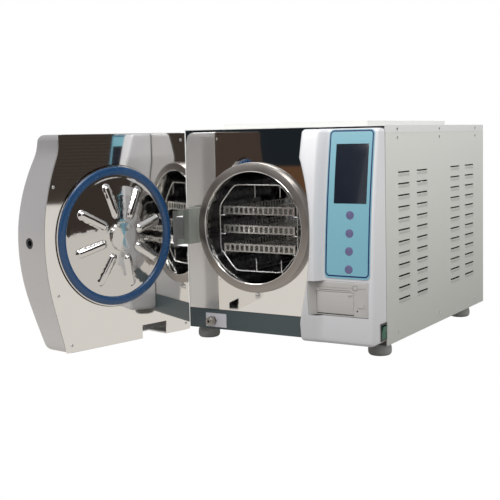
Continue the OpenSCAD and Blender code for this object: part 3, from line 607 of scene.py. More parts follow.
def make_disc():
    """Pressed disc with a raised hub, eight ribs and a small pit beside its centre."""
    hub_height, pit_depth, pit_u, pit_v = 6.5, 5.0, -8, 15
    rings = [0.01, 3, 6, 8] + [9.0 + k for k in range(18)] + [27.5, 28.5, 29.3, 30, 30.6, 31.2, 32, 33, 34.5]
    r = 36.0
    while r < 117:
        rings.append(r)
        r += 1.6
    rings += [118, 120, 122, 124, 125.5, 127, 130, 138, 144, 145.4, 146]
    directions = circle(400)
    rows = []
    for r in rings:
        row = []
        for c, s in directions:
            u, v = r * c, r * s
            h = disc_height(r) + hub_height * (1 - ease(28.6, 31.4, r)) + rib_height(u, v)
            h -= pit_depth * (1 - ease(2.6, 3.4, math.hypot(u - pit_u, v - pit_v)))
            row.append((CHAMBER_X + u, DOOR_Y + h, CHAMBER_Z + v))
        rows.append(row)
    rows.append([(x, DOOR_Y + 0.2, z) for x, y, z in rows[-1]])
    rows.append([(CHAMBER_X + 60 * c, DOOR_Y + 1.0, CHAMBER_Z + 60 * s) for c, s in directions])
    disc = build("pressure_disc_look", *loft(rows), DOOR, "disc", 38)
    stand_for(disc, "pressure_disc", "disc")


make_disc()

GASKET_R, GASKET_HALF, GASKET_CROWN, GASKET_BACK = 134.8, 8.6, 3.1, 4.05
gasket_profile = []
for step in range(13):
    angle = math.pi * step / 12
    crown_y = DOOR_Y + 5.3 + GASKET_CROWN * math.sin(angle)
    gasket_profile.append((GASKET_R + GASKET_HALF * math.cos(angle), crown_y))
for radius in (GASKET_R - GASKET_HALF, GASKET_R + GASKET_HALF):
    gasket_profile.append((radius, DOOR_Y + GASKET_BACK))
gasket = build("gasket_look", *turned(gasket_profile, CHAMBER_X, CHAMBER_Z, 160), DOOR, "gasket", 50)
stand_for(gasket, "gasket", "disc")

# ---------------------------------------------------------------- fascia

FACE_R, FACE_Z, FACE_Y = 2350.0, 60.0, -67.0
BAND_R, BAND_Z, BAND_Y = 913.0, 222.0, -86.0
FASCIA_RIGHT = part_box("fascia")[1].x / MM
FASCIA_Z0, FASCIA_Z1 = 35.0, 473.0
FASCIA_WALL = 2.5
FASCIA_LEFT = 82.0
DOOR_GAP = 2.5


def face_y(z):
    """Depth of the fascia's long leaning curve at a height."""
    return FACE_Y + FACE_R - math.sqrt(FACE_R ** 2 - (z - FACE_Z) ** 2)


def band_y(z):
    """Depth of the rounder curve of the raised band beside the door."""
    return BAND_Y + BAND_R - math.sqrt(BAND_R ** 2 - (z - BAND_Z) ** 2)


def soft_min(a, b, k):
    """The smaller of two values, blended where they are closer than k."""
    h = max(k - abs(a - b), 0) / k
    return min(a, b) - h * h * k / 4


def fascia_front(x, z):
    """Depth of the front at a point: the raised band near the door, the plain face beyond it."""
    share = 1 - ease(121.5, 141, x)
    raised = soft_min(face_y(z), band_y(z), 8) if share > 0 else face_y(z)
    return face_y(z) + (raised - face_y(z)) * share


def fascia_section(z, inset, back, radius):
    """Level outline of the fascia, inset all round, with rounded front corners."""
    rc = max(radius - inset, 0.4)
    slant_inset = inset / math.cos(LEAN)
    cy = fascia_front(110, z) + inset + rc
    cx = max(wall_x(z, cy) + DOOR_GAP, FASCIA_LEFT) + slant_inset + rc
    pts = [(max(wall_x(z, back) + DOOR_GAP, FASCIA_LEFT) + slant_inset, back, z)]
    pts += arc(cx, cy, z, rc, math.pi + LEAN, math.pi / 2 - LEAN, 7)
    across = [cx + (119.0 - cx) * j / 5 for j in range(1, 5)]
    across += [119.5 + 1.6 * j for j in range(16)]
    across += [150, 160, 175, 190, 205, 220]
    pts += [(x, fascia_front(x, z) + inset, z) for x in across]
    right = FASCIA_RIGHT - inset
    pts += arc(right - rc, face_y(z) + inset + rc, z, rc, -math.pi / 2, math.pi / 2, 7)
    pts.append((right, back, z))
    return pts


def fascia_solid(inset, back, radius):
    """Closed solid of the fascia's outline, inset all round and ending at a depth towards the cabinet."""
    rows = []
    for z, d in rounded_levels(FASCIA_Z0 + inset, FASCIA_Z1 - inset, radius, 60):
        rows.append(fascia_section(z, d + inset, back, radius + inset))
    return loft(rows)


PRINTER = (108, 238, 93, 165)
BUTTON_Z = (299, 262.5, 226.5, 190)
BUTTON_X = 194.5


def make_fascia():
    """Hollow white fascia, cut for the printer, the display, the keys, the switch and the lock bolt."""
    fascia = build("fascia_look", *fascia_solid(0, 0, 8), IN_PLACE, "white", 0)
    cut(fascia, [fascia_solid(FASCIA_WALL, 4, 5.5)])
    x0, x1, z0, z1 = PRINTER
    tools = [block((x0, -120, z0), (x1, -40, z1), 0)]
    tools.append(block((156, -120, 321), (231, -20, 443), 0))
    tools += [rod("y", (BUTTON_X, z), -120, -20, 9.1) for z in BUTTON_Z]
    tools.append(block((234, -30, 42.5), (254, -5, 75.5), 0))
    tools.append(rod("x", (LOCK_Y, EDGE_MID_Z), 60, 121, 5.05))
    cut(fascia, tools)
    fascia.data.transform(CABINET)
    shade(fascia, 30)
    stand_for(fascia, "fascia", "cabinet")


make_fascia()


def sheet_on_face(x0, x1, z0, z1, radius, front, back, steps=48, corner=8):
    """Sheet that follows the leaning face, its outline rounded at the four corners."""
    rows = []
    for z, d in rounded_levels(z0, z1, radius, steps, corner):
        across = [x0 + d + (x1 - x0 - 2 * d) * t / 4 for t in range(5)]
        row = [(x, face_y(z) + front, z) for x in across]
        row += [(x, face_y(z) + back, z) for x in across[::-1]]
        rows.append(row)
    return loft(rows)


def make_panel():
    """Membrane with its openings, and the display's glass."""
    panel = build(
        "membrane_look", *sheet_on_face(140, 241, 171, 471, 9, -1.3, -0.1), IN_PLACE, "panel", 0
    )
    tools = [block((157, -120, 322), (230.2, -20, 442), 0)]
    tools += [rod("y", (BUTTON_X, z), -120, -20, 8.8) for z in BUTTON_Z]
    cut(panel, tools)
    panel.data.transform(CABINET)
    shade(panel, 25)
    stand_for(panel, "membrane_panel", "cabinet")
    glass = build(
        "display_look", *sheet_on_face(157.2, 230, 322.2, 441.8, 0.6, -0.7, 4, 24, 2), CABINET, "screen", 25
    )
    stand_for(glass, "display", "cabinet")


make_panel()

for number, z in enumerate(BUTTON_Z, 1):
    y = face_y(z)
    dome = [
        (0.01, y - 2.1), (3, y - 2.08), (5.6, y - 1.98), (6.4, y - 1.7), (7.0, y - 1.98), (8.0, y - 1.9),
        (8.6, y - 1.5), (8.65, y + 7.5), (0.01, y + 7.5)
    ]
    key = build(f"key_{number}_look", *turned(dome, BUTTON_X, z, 48), CABINET, "key", 40)
    stand_for(key, f"button_{number}", f"key_{number}")

# ---------------------------------------------------------------- side panels

LOUVER_Y = (63, 163, 367, 465)
LOUVER_W, LOUVER_H, LOUVER_Z0, LOUVER_PITCH, LOUVER_ROWS = 60.0, 5.8, 109.2, 24.25, 12
LOUVER_Z = [LOUVER_Z0 + row * LOUVER_PITCH for row in range(LOUVER_ROWS)]
SIDE_OUT = FASCIA_RIGHT
SIDE_IN = SIDE_OUT - 1.5
SIDE_DEPTH, SIDE_Z0, SIDE_Z1 = 600.0, 26.0, 462.2


def louver_hood(y0, z0):
    """Pressed hood: a shell with closed rounded ends that swells upwards and is open above."""
    rows = []
    low, rise, depth, wall = z0 - 7.0, 10.0, 3.0, 0.7
    along, up = 28, 8
    for k in range(along + 1):
        t = k / along
        y = y0 - 0.6 + (LOUVER_W + 1.2) * t
        end = min(t, 1 - t) * LOUVER_W / 5.0
        swell_here = depth * math.sqrt(max(1 - (1 - min(end, 1)) ** 2, 0.0009))
        outer = []
        inner = []
        for j in range(up + 1):
            z = low + rise * j / up
            swell = swell_here * (1 - math.cos(math.pi * j / up)) / 2
            outer.append((SIDE_OUT - 0.3 + swell, y, z))
            inner.append((SIDE_OUT - 0.5 + max(swell - wall, 0.02 * swell), y, z))
        rows.append(outer + inner[::-1])
    return loft(rows)


def slotted_plate():
    """Side sheet with a slot behind every louvre, as a grid of cells with the slots left out."""
    cuts_y = sorted({0.0, SIDE_DEPTH, *LOUVER_Y, *(y + LOUVER_W for y in LOUVER_Y)})
    cuts_z = sorted({SIDE_Z0, SIDE_Z1, *LOUVER_Z, *(z + LOUVER_H for z in LOUVER_Z)})
    ni, nj = len(cuts_y) - 1, len(cuts_z) - 1
    bm = bmesh.new()
    grid = {}
    for x in (SIDE_IN, SIDE_OUT):
        for i, y in enumerate(cuts_y):
            for j, z in enumerate(cuts_z):
                grid[(x, i, j)] = bm.verts.new((x, y, z))

    def is_open(i, j):
        if not (0 <= i < ni and 0 <= j < nj):
            return True
        return cuts_y[i] in LOUVER_Y and cuts_z[j] in LOUVER_Z

    for i in range(ni):
        for j in range(nj):
            if is_open(i, j):
                continue
            corners = ((i, j), (i + 1, j), (i + 1, j + 1), (i, j + 1))
            for x in (SIDE_IN, SIDE_OUT):
                bm.faces.new([grid[(x, a, b)] for a, b in corners])
            sides = ((i, j - 1), (i + 1, j), (i, j + 1), (i - 1, j))
            for k, beyond in enumerate(sides):
                if is_open(*beyond):
                    a, b = corners[k], corners[(k + 1) % 4]
                    rim = ((SIDE_IN, *a), (SIDE_IN, *b), (SIDE_OUT, *b), (SIDE_OUT, *a))
                    bm.faces.new([grid[corner] for corner in rim])
    bm.verts.index_update()
    plate = ([tuple(v.co) for v in bm.verts], [tuple(v.index for v in f.verts) for f in bm.faces])
    bm.free()
    return plate


def make_side(sign, name, node):
    """Side panel with its louvres, mirrored for the left side by a sign of -1."""
    pieces = [slotted_plate()]
    pieces += [louver_hood(y, z) for y in LOUVER_Y for z in LOUVER_Z]
    matrix = CABINET @ Matrix.Scale(sign, 4, (1, 0, 0))
    side = build(name, *merged(pieces), matrix, "side", 40)
    stand_for(side, node, "cabinet")


make_side(1, "right_side_look", "right_side_panel")
make_side(-1, "left_side_look", "left_side_panel")

# ---------------------------------------------------------------- screws


def pan_head(radius, height, out):
    """Domed head with a cross recess; out maps (u, v, w) to a point, w along the screw axis."""
    rings = [0.02] + [radius * k / 12 for k in range(1, 12)] + [radius * 0.97, radius]
    half_slot, slot_reach = radius * 0.14, radius * 0.62
    rows = []
    for r in rings:
        row = []
        for c, s in circle(48):
            u, v = r * c, r * s
            h = height * math.sqrt(max(1 - (r / radius) ** 2 * 0.85, 0.0))
            if min(abs(u), abs(v)) < half_slot and r < slot_reach:
                h -= height * 0.5
            row.append(out(u, v, h))
        rows.append(row)
    rows.append([out(radius * c, radius * s, 0) for c, s in circle(48)])
    return loft(rows)


def side_screw(sign, y, z):
    """Screw head on the right side, or on the left with a sign of -1."""
    return pan_head(3.6, 1.8, lambda u, v, w: (sign * (SIDE_OUT + 0.05 + w), y + u, z + v))


def door_screw(x, z):
    """Screw head on the door's inner panel."""
    return pan_head(3.1, 1.5, lambda u, v, w: (x + u, DOOR_Y + 0.02 + w, z + v))


side_screws = [side_screw(sign, y, z) for sign in (1, -1) for y in (60, 297, 537) for z in (470, 452, 46)]
screws = build("cabinet_screws_look", *merged(side_screws), CABINET, "bright", 40)
stand_for(screws, "cabinet_screws", "cabinet")

DOOR_SCREW_PLACES = ((80, 153), (53, 49), (82, 369), (-249, 49), (-249, 129), (-249, 456))
door_screws = [door_screw(x, z) for x, z in DOOR_SCREW_PLACES]
screws = build("door_screws_look", *merged(door_screws), DOOR, "bright", 40)
stand_for(screws, "door_screws", "door")

# ---------------------------------------------------------------- chamber

MOUTH_R, FLANGE_R = 122.5, 143.0
flange_profile = [
    (MOUTH_R + 2.0, -14.6), (MOUTH_R + 2.6, -15.0), (FLANGE_R - 5.0, -15.0), (FLANGE_R - 2.4, -14.4),
    (FLANGE_R - 0.8, -13.0), (FLANGE_R, -11.0), (FLANGE_R, 10.8), (126.7, 10.8), (126.7, 4.0),
    (MOUTH_R + 2.0, 4.0),
]
flange = build("flange_ring", *turned(flange_profile, CHAMBER_X, CHAMBER_Z, 240), CABINET, "flange", 25)
lip_profile = [
    (MOUTH_R, -13.0), (MOUTH_R + 0.5, -14.6), (MOUTH_R + 1.2, -15.2), (MOUTH_R + 1.95, -14.6),
    (MOUTH_R + 1.95, 4.0), (MOUTH_R, 4.0),
]
lip = build("flange_lip", *turned(lip_profile, CHAMBER_X, CHAMBER_Z, 240), CABINET, "lip", 50)
flange = join("flange_look", [flange, lip], 28)
stand_for(flange, "chamber_flange", "cabinet")

VESSEL_R, VESSEL_WALL, VESSEL_Y0, VESSEL_Y1, DISH_RISE = 126.5, 3.0, 4.3, 334.2, 38.0
DISH_R = (VESSEL_R ** 2 + DISH_RISE ** 2) / (2 * DISH_RISE)


def dish(edge_radius, sphere_radius):
    """Profile of the dished end from its edge to its pole."""
    points = []
    for step in range(13):
        angle = math.asin(edge_radius / sphere_radius) * (1 - step / 12)
        y = VESSEL_Y1 + DISH_RISE - DISH_R + sphere_radius * math.cos(angle)
        points.append((max(sphere_radius * math.sin(angle), 0.01), y))
    return points


inner_r = VESSEL_R - VESSEL_WALL
vessel_profile = [(inner_r, VESSEL_Y0), (VESSEL_R, VESSEL_Y0)]
vessel_profile += dish(VESSEL_R, DISH_R) + dish(inner_r, DISH_R - VESSEL_WALL)[::-1]
vessel = build("vessel_look", *turned(vessel_profile, CHAMBER_X, CHAMBER_Z, 160), CABINET, "vessel", 30)
stand_for(vessel, "pressure_vessel", "cabinet")

# ---------------------------------------------------------------- rack and trays

RACK_Y0, RACK_Y1 = 12.0, 312.0
RACK_Z, RACK_HALF = CHAMBER_Z - 3, 96.0
OCTAGON = [
    (-100, -50), (-60, -RACK_HALF), (60, -RACK_HALF), (100, -50),
    (100, 50), (60, RACK_HALF), (-60, RACK_HALF), (-100, 50),
]
TRAY_Z = (214.0, 256.0, 298.0)


def make_rack():
    """Wire rack: two octagon frames joined by long wires, a runner pair for each tray, and four stubs."""
    pieces = []
    n = len(OCTAGON)
    for y in (RACK_Y0, RACK_Y1):
        corners = [Vector((CHAMBER_X + x, y, RACK_Z + z)) for x, z in OCTAGON]
        path = []
        for k in range(n):
            p, q, r = corners[k - 1], corners[k], corners[(k + 1) % n]
            path += arc_path([p.lerp(q, 0.5), q, r.lerp(q, 0.5)], 12, 4)[1:-1]
        pieces.append(tube(path, 1.45, closed=True))

    def long_wire(x, z):
        return tube([(CHAMBER_X + x, RACK_Y0, z), (CHAMBER_X + x, RACK_Y1, z)], 1.6)

    for sx in (-1, 1):
        for z in (RACK_Z - RACK_HALF, RACK_Z + RACK_HALF):
            pieces += [long_wire(sx * x, z) for x in (24, 60)]
        for z in TRAY_Z:
            pieces.append(long_wire(sx * 97.5, z - 3.5))
            outer, inner, runner_z = CHAMBER_X + sx * 98.5, CHAMBER_X + sx * 88, z - 12.6
            low = [(outer, RACK_Y0), (inner, RACK_Y0), (inner, RACK_Y0 + 8)]
            high = [(inner, RACK_Y1 - 8), (inner, RACK_Y1), (outer, RACK_Y1)]
            path = []
            for bend in (low, high):
                path += arc_path([(x, y, runner_z) for x, y in bend], 4, 3)
            pieces.append(tube(path, 1.5))
    for x in (-6, 58):
        for side in (-1, 1):
            foot = RACK_Z + side * RACK_HALF
            stub = [(CHAMBER_X + x, RACK_Y0, foot), (CHAMBER_X + x, RACK_Y0, foot - side * 27)]
            pieces.append(tube(stub, 1.3))
    rack = build("rack_look", *merged(pieces), CABINET, "wire", 40)
    stand_for(rack, "tray_rack", "rack")


make_rack()


def slotted_wall(a, b, z0, z1, count, thick):
    """Upright tray wall between two points, with a row of tall slots."""
    gap_share, rim, end = 0.62, 2.6, 4
    (ax, ay), (bx, by) = a, b
    length = math.hypot(bx - ax, by - ay)
    ux, uy = (bx - ax) / length, (by - ay) / length

    def slab(s0, s1, w0, w1):
        corners = ((s0, 0), (s1, 0), (s1, thick), (s0, thick))
        level = [(ax + ux * s - uy * t, ay + uy * s + ux * t) for s, t in corners]
        return loft([[(x, y, w) for x, y in level] for w in (w0, w1)])

    pitch = (length - 2 * end) / count
    half_bar = pitch * (1 - gap_share) / 2
    pieces = [slab(0, length, z0, z0 + rim), slab(0, length, z1 - rim, z1)]
    pieces.append(slab(0, end + half_bar, z0 + rim, z1 - rim))
    pieces.append(slab(length - end - half_bar, length, z0 + rim, z1 - rim))
    for k in range(1, count):
        s = end + pitch * k
        pieces.append(slab(s - half_bar, s + half_bar, z0 + rim, z1 - rim))
    return pieces


TRAY_HALF, TRAY_Y0, TRAY_Y1 = 93.0, 14.0, 300.0


def make_tray(number, z, body):
    """Tray with slotted walls, a floor of crossed strips and a wire rim."""
    x0, x1, y0, y1 = CHAMBER_X - TRAY_HALF, CHAMBER_X + TRAY_HALF, TRAY_Y0, TRAY_Y1
    z0, z1 = z - 10.4, z + 7
    corners = [(x0, y0), (x1, y0), (x1, y1), (x0, y1)]
    pieces = []
    for k, slots in enumerate((14, 22, 14, 22)):
        pieces += slotted_wall(corners[k], corners[(k + 1) % 4], z0, z1, slots, 0.9)
    for k in range(23):
        x = x0 + 1 + (x1 - x0 - 5) * k / 22
        pieces.append(block((x, y0 + 0.6, z0), (x + 3.0, y1 - 0.6, z0 + 0.9), 0))
    for k in range(15):
        y = y0 + 2 + (y1 - y0 - 10) * k / 14
        pieces.append(block((x0 + 0.6, y, z0 + 0.05), (x1 - 0.6, y + 5, z0 + 0.85), 0))
    rim = [(x0 + 1, y0 + 0.6), (x1 - 1, y0 + 0.6), (x1 - 1, y1 - 0.6), (x0 + 1, y1 - 0.6)]
    pieces.append(tube([(x, y, z1) for x, y in rim], 1.0, 8, closed=True))
    tray = build(f"tray_{number}_look", *merged(pieces), CABINET, "tray", 30)
    stand_for(tray, f"tray_{number}", body)


for number, (z, body) in enumerate(zip(TRAY_Z, ("low_tray", "middle_tray", "high_tray")), 1):
    make_tray(number, z, body)

# ---------------------------------------------------------------- feet, drain and printer

FOOT_PROFILE = [
    (0.01, 0), (19.5, 0), (21.2, 0.5), (23.0, 2.2), (24.6, 5.0), (25.0, 8.0), (25.0, 14.0), (24.2, 18.5),
    (22.5, 22.0), (21.0, 25.7), (0.01, 25.7),
]
feet = []
for foot_x in (-217.0, 217.0):
    for foot_y in (32, 510):
        rows = [[(foot_x + r * c, foot_y + r * s, h) for r, h in FOOT_PROFILE] for c, s in circle(72)]
        feet.append(ring(rows))
feet = build("feet_look", *merged(feet), CABINET, "foot", 35)
stand_for(feet, "feet", "cabinet")

DRAIN_X, DRAIN_Z = -181.0, 46.0
nipple = [
    (3.0, -22.5), (4.6, -22.5), (5.3, -21.9), (5.45, -21.0), (5.45, -7.2), (6.8, -7.0), (7.0, -6.0),
    (7.0, 20), (3.0, 20),
]
hexagon = [(DRAIN_X + 10 * c, DRAIN_Z + 10 * s) for c, s in circle(6)]
connector = merged([turned(nipple, DRAIN_X, DRAIN_Z, 48), prism_y(hexagon, -6, -3.2)])
connector = build("connector_look", *connector, CABINET, "flange", 30)
stand_for(connector, "drain_connector", "cabinet")


def knurled(profile, teeth, depth, x, z, band):
    """Turned piece with straight knurls between two depths along Y."""
    rows = []
    for number, (c, s) in enumerate(circle(teeth * 4)):
        row = []
        for r, y in profile:
            low = depth if band[0] <= y <= band[1] and r > 7 and number % 4 in (0, 3) else 0
            row.append((x + (r - low) * c, y, z + (r - low) * s))
        rows.append(row)
    return ring(rows)


sleeve_profile = [
    (5.6, -21), (8.9, -21), (9.4, -20.4), (9.4, -19.2), (8.3, -18.6), (8.45, -18.0), (8.45, -13.2),
    (8.3, -12.6), (9.8, -12.0), (10.0, -11.4), (10.0, -10.4), (9.5, -10.0), (5.6, -10.0),
]
sleeve = build(
    "sleeve_look", *knurled(sleeve_profile, 28, 0.5, DRAIN_X, DRAIN_Z, (-18.2, -13.0)), CABINET, "flange", 30
)
stand_for(sleeve, "drain_sleeve", "sleeve")


def printer_cheek(x0, x1, y, z0, z1):
    """Left cheek of the printer, which bulges forward with the band and falls away to the door's recess."""
    rows = []
    for step in range(13):
        z = z0 + (z1 - z0) * step / 12
        front = band_y(z) + 0.4
        rows.append([
            (x0, front + 0.5, z), (x0 + 0.85, front, z), (x0 + 2.25, front + 0.3, z),
            (x1 - 1.0, y - 0.2, z), (x1, y + 0.1, z), (x1, y + 2, z), (x0, y + 2, z),
        ])
    return loft(rows)


def make_printer():
    """Printer frame with its recesses, cheek, latch, lamp and paper slot, and the flap over the roll."""
    x0, x1, z0, z1 = PRINTER
    gap = 0.35
    y0 = -65.5
    y1 = y0 + 45
    dx0, dx1, dz0, dz1 = 121.0, 205.0, 98.0, 145.0
    pin = (y0 + 4, 101)
    box = block((x0 + gap, y0, z0 + gap), (x1 - gap, y1, z1 - gap), 1.6, 3)
    body = build("printer_body", *box, IN_PLACE, "grey", 0)
    cut(body, [
        block((dx0 - 0.6, y0 - 3, dz0 - 2.2), (dx1 + 0.6, y0 + 8, dz1 - 1.6), 0.4),
        block((dx0 - 1, y0 - 3, 151.0), (x1 - 5, y0 + 0.8, 152.2), 0),
        block((214.5, y0 - 2, 113.5), (228.5, y0 + 9, 120.5), 0),
        block((203.6, y0 - 2, 147.4), (213.4, y0 + 2.5, 157.2), 0.3),
    ])
    cut(body, [
        block((dx0 + 4, y0, dz0 + 3), (dx1 - 4, y1 - 3, dz1 - 3), 0),
        rod("x", (y0 + 26, 120), dx0 - 2, dx1 + 2, 3.05),
    ])
    cut(body, [rod("x", pin, dx0 - 6, dx1 + 6, 1.55, 24)])
    latch = block((204.4, y0 - 0.3, 148.2), (212.6, y0 + 2.6, 156.4))
    lens = [(0.01, y0 - 0.8), (1.2, y0 - 0.6), (1.8, y0), (1.8, y0 + 1), (0.01, y0 + 1)]
    slot = block((dx0 + 6, y0 - 0.1, 146.2), (dx1 - 6, y0 + 0.5, 147.0), 0.1)
    cheek = printer_cheek(x0 + gap, dx0 - 1.4, y0, z0 + gap, z1 - gap)
    cheek = build("printer_cheek", *cheek, IN_PLACE, "grey", 0)
    latch = build("printer_latch", *latch, IN_PLACE, "grey", 0)
    lamp = build("printer_lamp", *turned(lens, 213.0, 106.5, 24), IN_PLACE, "led", 0)
    slot_lip = build("paper_slot", *slot, IN_PLACE, "black", 0)
    body = join("printer_look", [body, cheek, latch, lamp, slot_lip], 30)
    body.data.transform(CABINET)
    stand_for(body, "printer_frame", "cabinet")
    flap = merged([
        block((dx0, y0 + 0.2, dz0), (dx1, y0 + 3.2, dz1 - 2.5), 0.7, 3),
        rod("x", pin, dx0 - 5.4, dx1 + 5.4, 1.45, 20),
        block((dx1 - 12, y0 - 1.4, dz1 - 8), (dx1 - 3, y0 + 1, dz1 - 5), 0.5),
    ])
    flap = build("flap_look", *flap, CABINET, "grey", 30)
    stand_for(flap, "printer_door", "printer_flap")


make_printer()

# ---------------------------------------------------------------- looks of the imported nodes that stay

BEVEL = {
    "top_cover": 0.8, "tank_lid": 0.9, "base_strip": 0.3, "hinge_block": 1.4, "door_arm": 1.0,
    "drain_plate": 0.3, "switch_bezel": 0.5, "switch_rocker": 0.6, "feed_button": 0.4, "power_inlet": 0.6,
    "rear_panel": 0.3, "lid_hinges": 0.3,
}
LOOKS = {
    "base_pan": "zinc", "top_cover": "top", "top_rails": "zinc", "tank_lid": "top", "lid_hinges": "bright",
    # Painted shade: the front frame is black so that the gap under the top cover's front lip shows as a dark
    # line.
    "rear_panel": "side", "front_frame": "black", "front_plate": "mirror", "base_strip": "strip",
    "insulation_jacket": "wool", "vessel_saddle": "zinc", "door_sensor": "bright", "safety_valve": "brass",
    "steam_generator": "bright", "vacuum_pump": "black", "condenser": "zinc", "fan_housing": "black",
    "fan_rotor": "black", "water_tank": "tank", "control_board": "board", "power_inlet": "black",
    "exhaust_port": "bright", "copper_pipes": "copper", "drain_plate": "lilac", "paper_roll": "paper",
    "feed_button": "grey", "switch_bezel": "black", "switch_rocker": "green", "lock_actuator": "black",
    "lock_bolt": "bright", "hinge_block": "hinge", "hinge_pin": "bright", "door_arm": "zinc",
    "door_inner_panel": "mirror", "lock_socket": "black",
}
for node_name, look in LOOKS.items():
    obj = nodes[node_name]
    obj.data.materials.clear()
    obj.data.materials.append(M[look])
    if node_name in BEVEL:
        mod = obj.modifiers.new("soft edges", "BEVEL")
        mod.width = BEVEL[node_name] * MM
        mod.segments = 2
        mod.limit_method = "ANGLE"
        mod.angle_limit = math.radians(40)

# ---------------------------------------------------------------- stage, light and camera


def stage_sheet(name, w, h):
    """Flat sheet about the origin that isn't part of the object, from its half width and half height."""
    mesh = bpy.data.meshes.new(name)
    mesh.from_pydata([(-w, -h, 0), (w, -h, 0), (w, h, 0), (-w, h, 0)], [], [(0, 1, 2, 3)])
    obj = bpy.data.objects.new(name, mesh)
    bpy.context.scene.collection.objects.link(obj)
    obj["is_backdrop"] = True
    return obj


def mix_by(tree, ray, other, chosen):
    """Shader that is the chosen one for a kind of ray and the other for the rest."""
    mix = add_node(tree, "MixShader", Fac=add_node(tree, "LightPath").outputs[ray])
    tree.links.new(other.outputs[0], mix.inputs[1])
    tree.links.new(chosen.outputs[0], mix.inputs[2])
    return mix


def stage_card(name, centre, size, facing, colour, streak=0.0):
    """Card seen only in reflections, with soft level streaks when streak is above zero."""
    obj = stage_sheet(name, size[0] / 2, size[1] / 2)
    obj.location = centre
    obj.rotation_euler = (Vector(facing) - Vector(centre)).to_track_quat("Z", "Y").to_euler()
    m = bpy.data.materials.new(name)
    m.use_nodes = True
    tree = m.node_tree
    tree.nodes.clear()
    place = add_node(tree, "TexCoord").outputs["Object"]
    wave = add_node(tree, "TexWave", Vector=place, Scale=22, Distortion=1.5)
    wave.bands_direction = "Y"
    ramp = add_node(tree, "MapRange", Value=wave.outputs["Fac"], To_Min=1 - streak, To_Max=1 + streak)
    emit = add_node(tree, "Emission", Color=(*colour, 1), Strength=ramp.outputs["Result"])
    add_node(tree, "OutputMaterial", Surface=emit.outputs[0])
    obj.data.materials.append(m)
    obj.visible_camera = False
    obj.visible_diffuse = False
    obj.visible_shadow = False
    obj.visible_transmission = False
    obj.visible_volume_scatter = False


BROWN, RUST = (0.058, 0.041, 0.033), (0.100, 0.052, 0.028)
BLACK, DARK = (0.012, 0.016, 0.020), (0.046, 0.036, 0.030)
WHITE = (1, 1, 1, 1)
for card, x0, x1, z0, z1, colour in (
    ("card_brown", -0.45, 0.30, 0.02, 1.30, BROWN),
    ("card_black", -1.90, -0.50, 0.34, 1.30, BLACK),
    ("card_low_brown", -1.90, -0.50, 0.02, 0.34, RUST),
):
    centre = ((x0 + x1) / 2, FRONT_Y - 1.5, (z0 + z1) / 2)
    stage_card(card, centre, (x1 - x0, z1 - z0), (centre[0], 0.0, centre[2]), colour)
stage_card("card_right_back", (1.55, -0.2, 0.85), (2.2, 1.35), (-0.4, -0.6, 0.30), DARK, 0.5)
stage_card("card_right_front", (1.35, -1.15, 0.85), (0.9, 1.35), (-0.2, -0.27, 0.40), DARK, 0.5)


def make_floor():
    """Floor that the camera sees as plain white, with other colours in reflections and bounced light."""
    floor = stage_sheet("floor", 6, 6)
    m = bpy.data.materials.new("floor")
    m.use_nodes = True
    tree = m.node_tree
    tree.nodes.clear()
    seen = add_node(tree, "Emission", Color=WHITE, Strength=1.0)
    plain = add_node(tree, "BsdfDiffuse", Color=(0.30, 0.295, 0.285, 1))
    mirrored = add_node(tree, "Emission", Color=(0.69, 0.66, 0.62, 1))
    bounce = mix_by(tree, "Is Glossy Ray", plain, mirrored)
    chosen = mix_by(tree, "Is Camera Ray", bounce, seen)
    add_node(tree, "OutputMaterial", Surface=chosen.outputs[0])
    floor.data.materials.append(m)


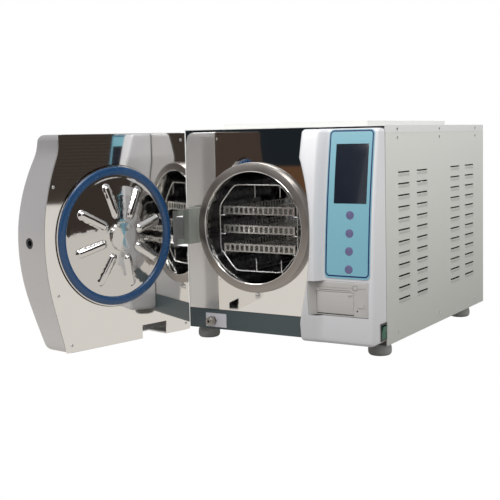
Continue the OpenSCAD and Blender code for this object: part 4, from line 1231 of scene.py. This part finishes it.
def make_world():
    """Even studio light all round, behind a background that the camera sees as white."""
    world = bpy.data.worlds.new("studio")
    bpy.context.scene.world = world
    world.use_nodes = True
    tree = world.node_tree
    tree.nodes.clear()
    seen = add_node(tree, "Background", Color=WHITE, Strength=1.0)
    light = add_node(tree, "Background", Color=(0.98, 0.98, 1.0, 1), Strength=0.62)
    add_node(tree, "OutputWorld", Surface=mix_by(tree, "Is Camera Ray", light, seen).outputs[0])


make_floor()
make_world()


def area(name, place, target, size, power):
    """Rectangular lamp at a place, aimed at a target."""
    data = bpy.data.lights.new(name, "AREA")
    data.shape = "RECTANGLE"
    data.size, data.size_y = size
    data.energy = power
    obj = bpy.data.objects.new(name, data)
    bpy.context.scene.collection.objects.link(obj)
    obj.location = place
    obj.rotation_euler = (Vector(target) - Vector(place)).to_track_quat("-Z", "Y").to_euler()
    return obj


# The side lamp isn't seen in reflections.
fill = area("side_fill", (2.3, 0.1, 1.1), (0.25, 0.05, 0.25), (1.2, 1.2), 10)
fill.visible_glossy = False
area("key", (0.9, -1.2, 2.4), (0, 0, 0.2), (1.6, 1.2), 34)
area("front_left", (-1.1, -2.2, 1.7), (0, -0.2, 0.3), (1.2, 1.2), 26)

YAW, PITCH, ROLL = math.radians(31.08), math.radians(-5.155), math.radians(-1.1655)
CAMERA_PLACE = (1.0625, FRONT_Y - 1.8045, 0.462)
forward = Vector((-math.sin(YAW) * math.cos(PITCH), math.cos(YAW) * math.cos(PITCH), math.sin(PITCH)))
right = Vector((math.cos(YAW), math.sin(YAW), 0))
up = right.cross(forward)
right, up = (
    math.cos(ROLL) * right + math.sin(ROLL) * up,
    -math.sin(ROLL) * right + math.cos(ROLL) * up,
)
camera_data = bpy.data.cameras.new("camera")
camera_data.sensor_width = 36
camera_data.lens = 70.03584
camera_data.shift_x = -0.0414
camera_data.shift_y = -0.05376
camera = bpy.data.objects.new("camera", camera_data)
bpy.context.scene.collection.objects.link(camera)
turn = Matrix((right, up, -forward)).transposed()
camera.matrix_world = Matrix.Translation(CAMERA_PLACE) @ turn.to_4x4()
bpy.context.scene.camera = camera
bpy.context.scene.view_settings.view_transform = "Standard"
bpy.context.scene.view_settings.look = "None"

bounds_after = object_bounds()


def plain_bounds(b):
    """Bounds as plain lists of numbers."""
    return json.loads(json.dumps(b, default=lambda v: [float(c) for c in v]))


{"before": plain_bounds(bounds_before), "after": plain_bounds(bounds_after)}
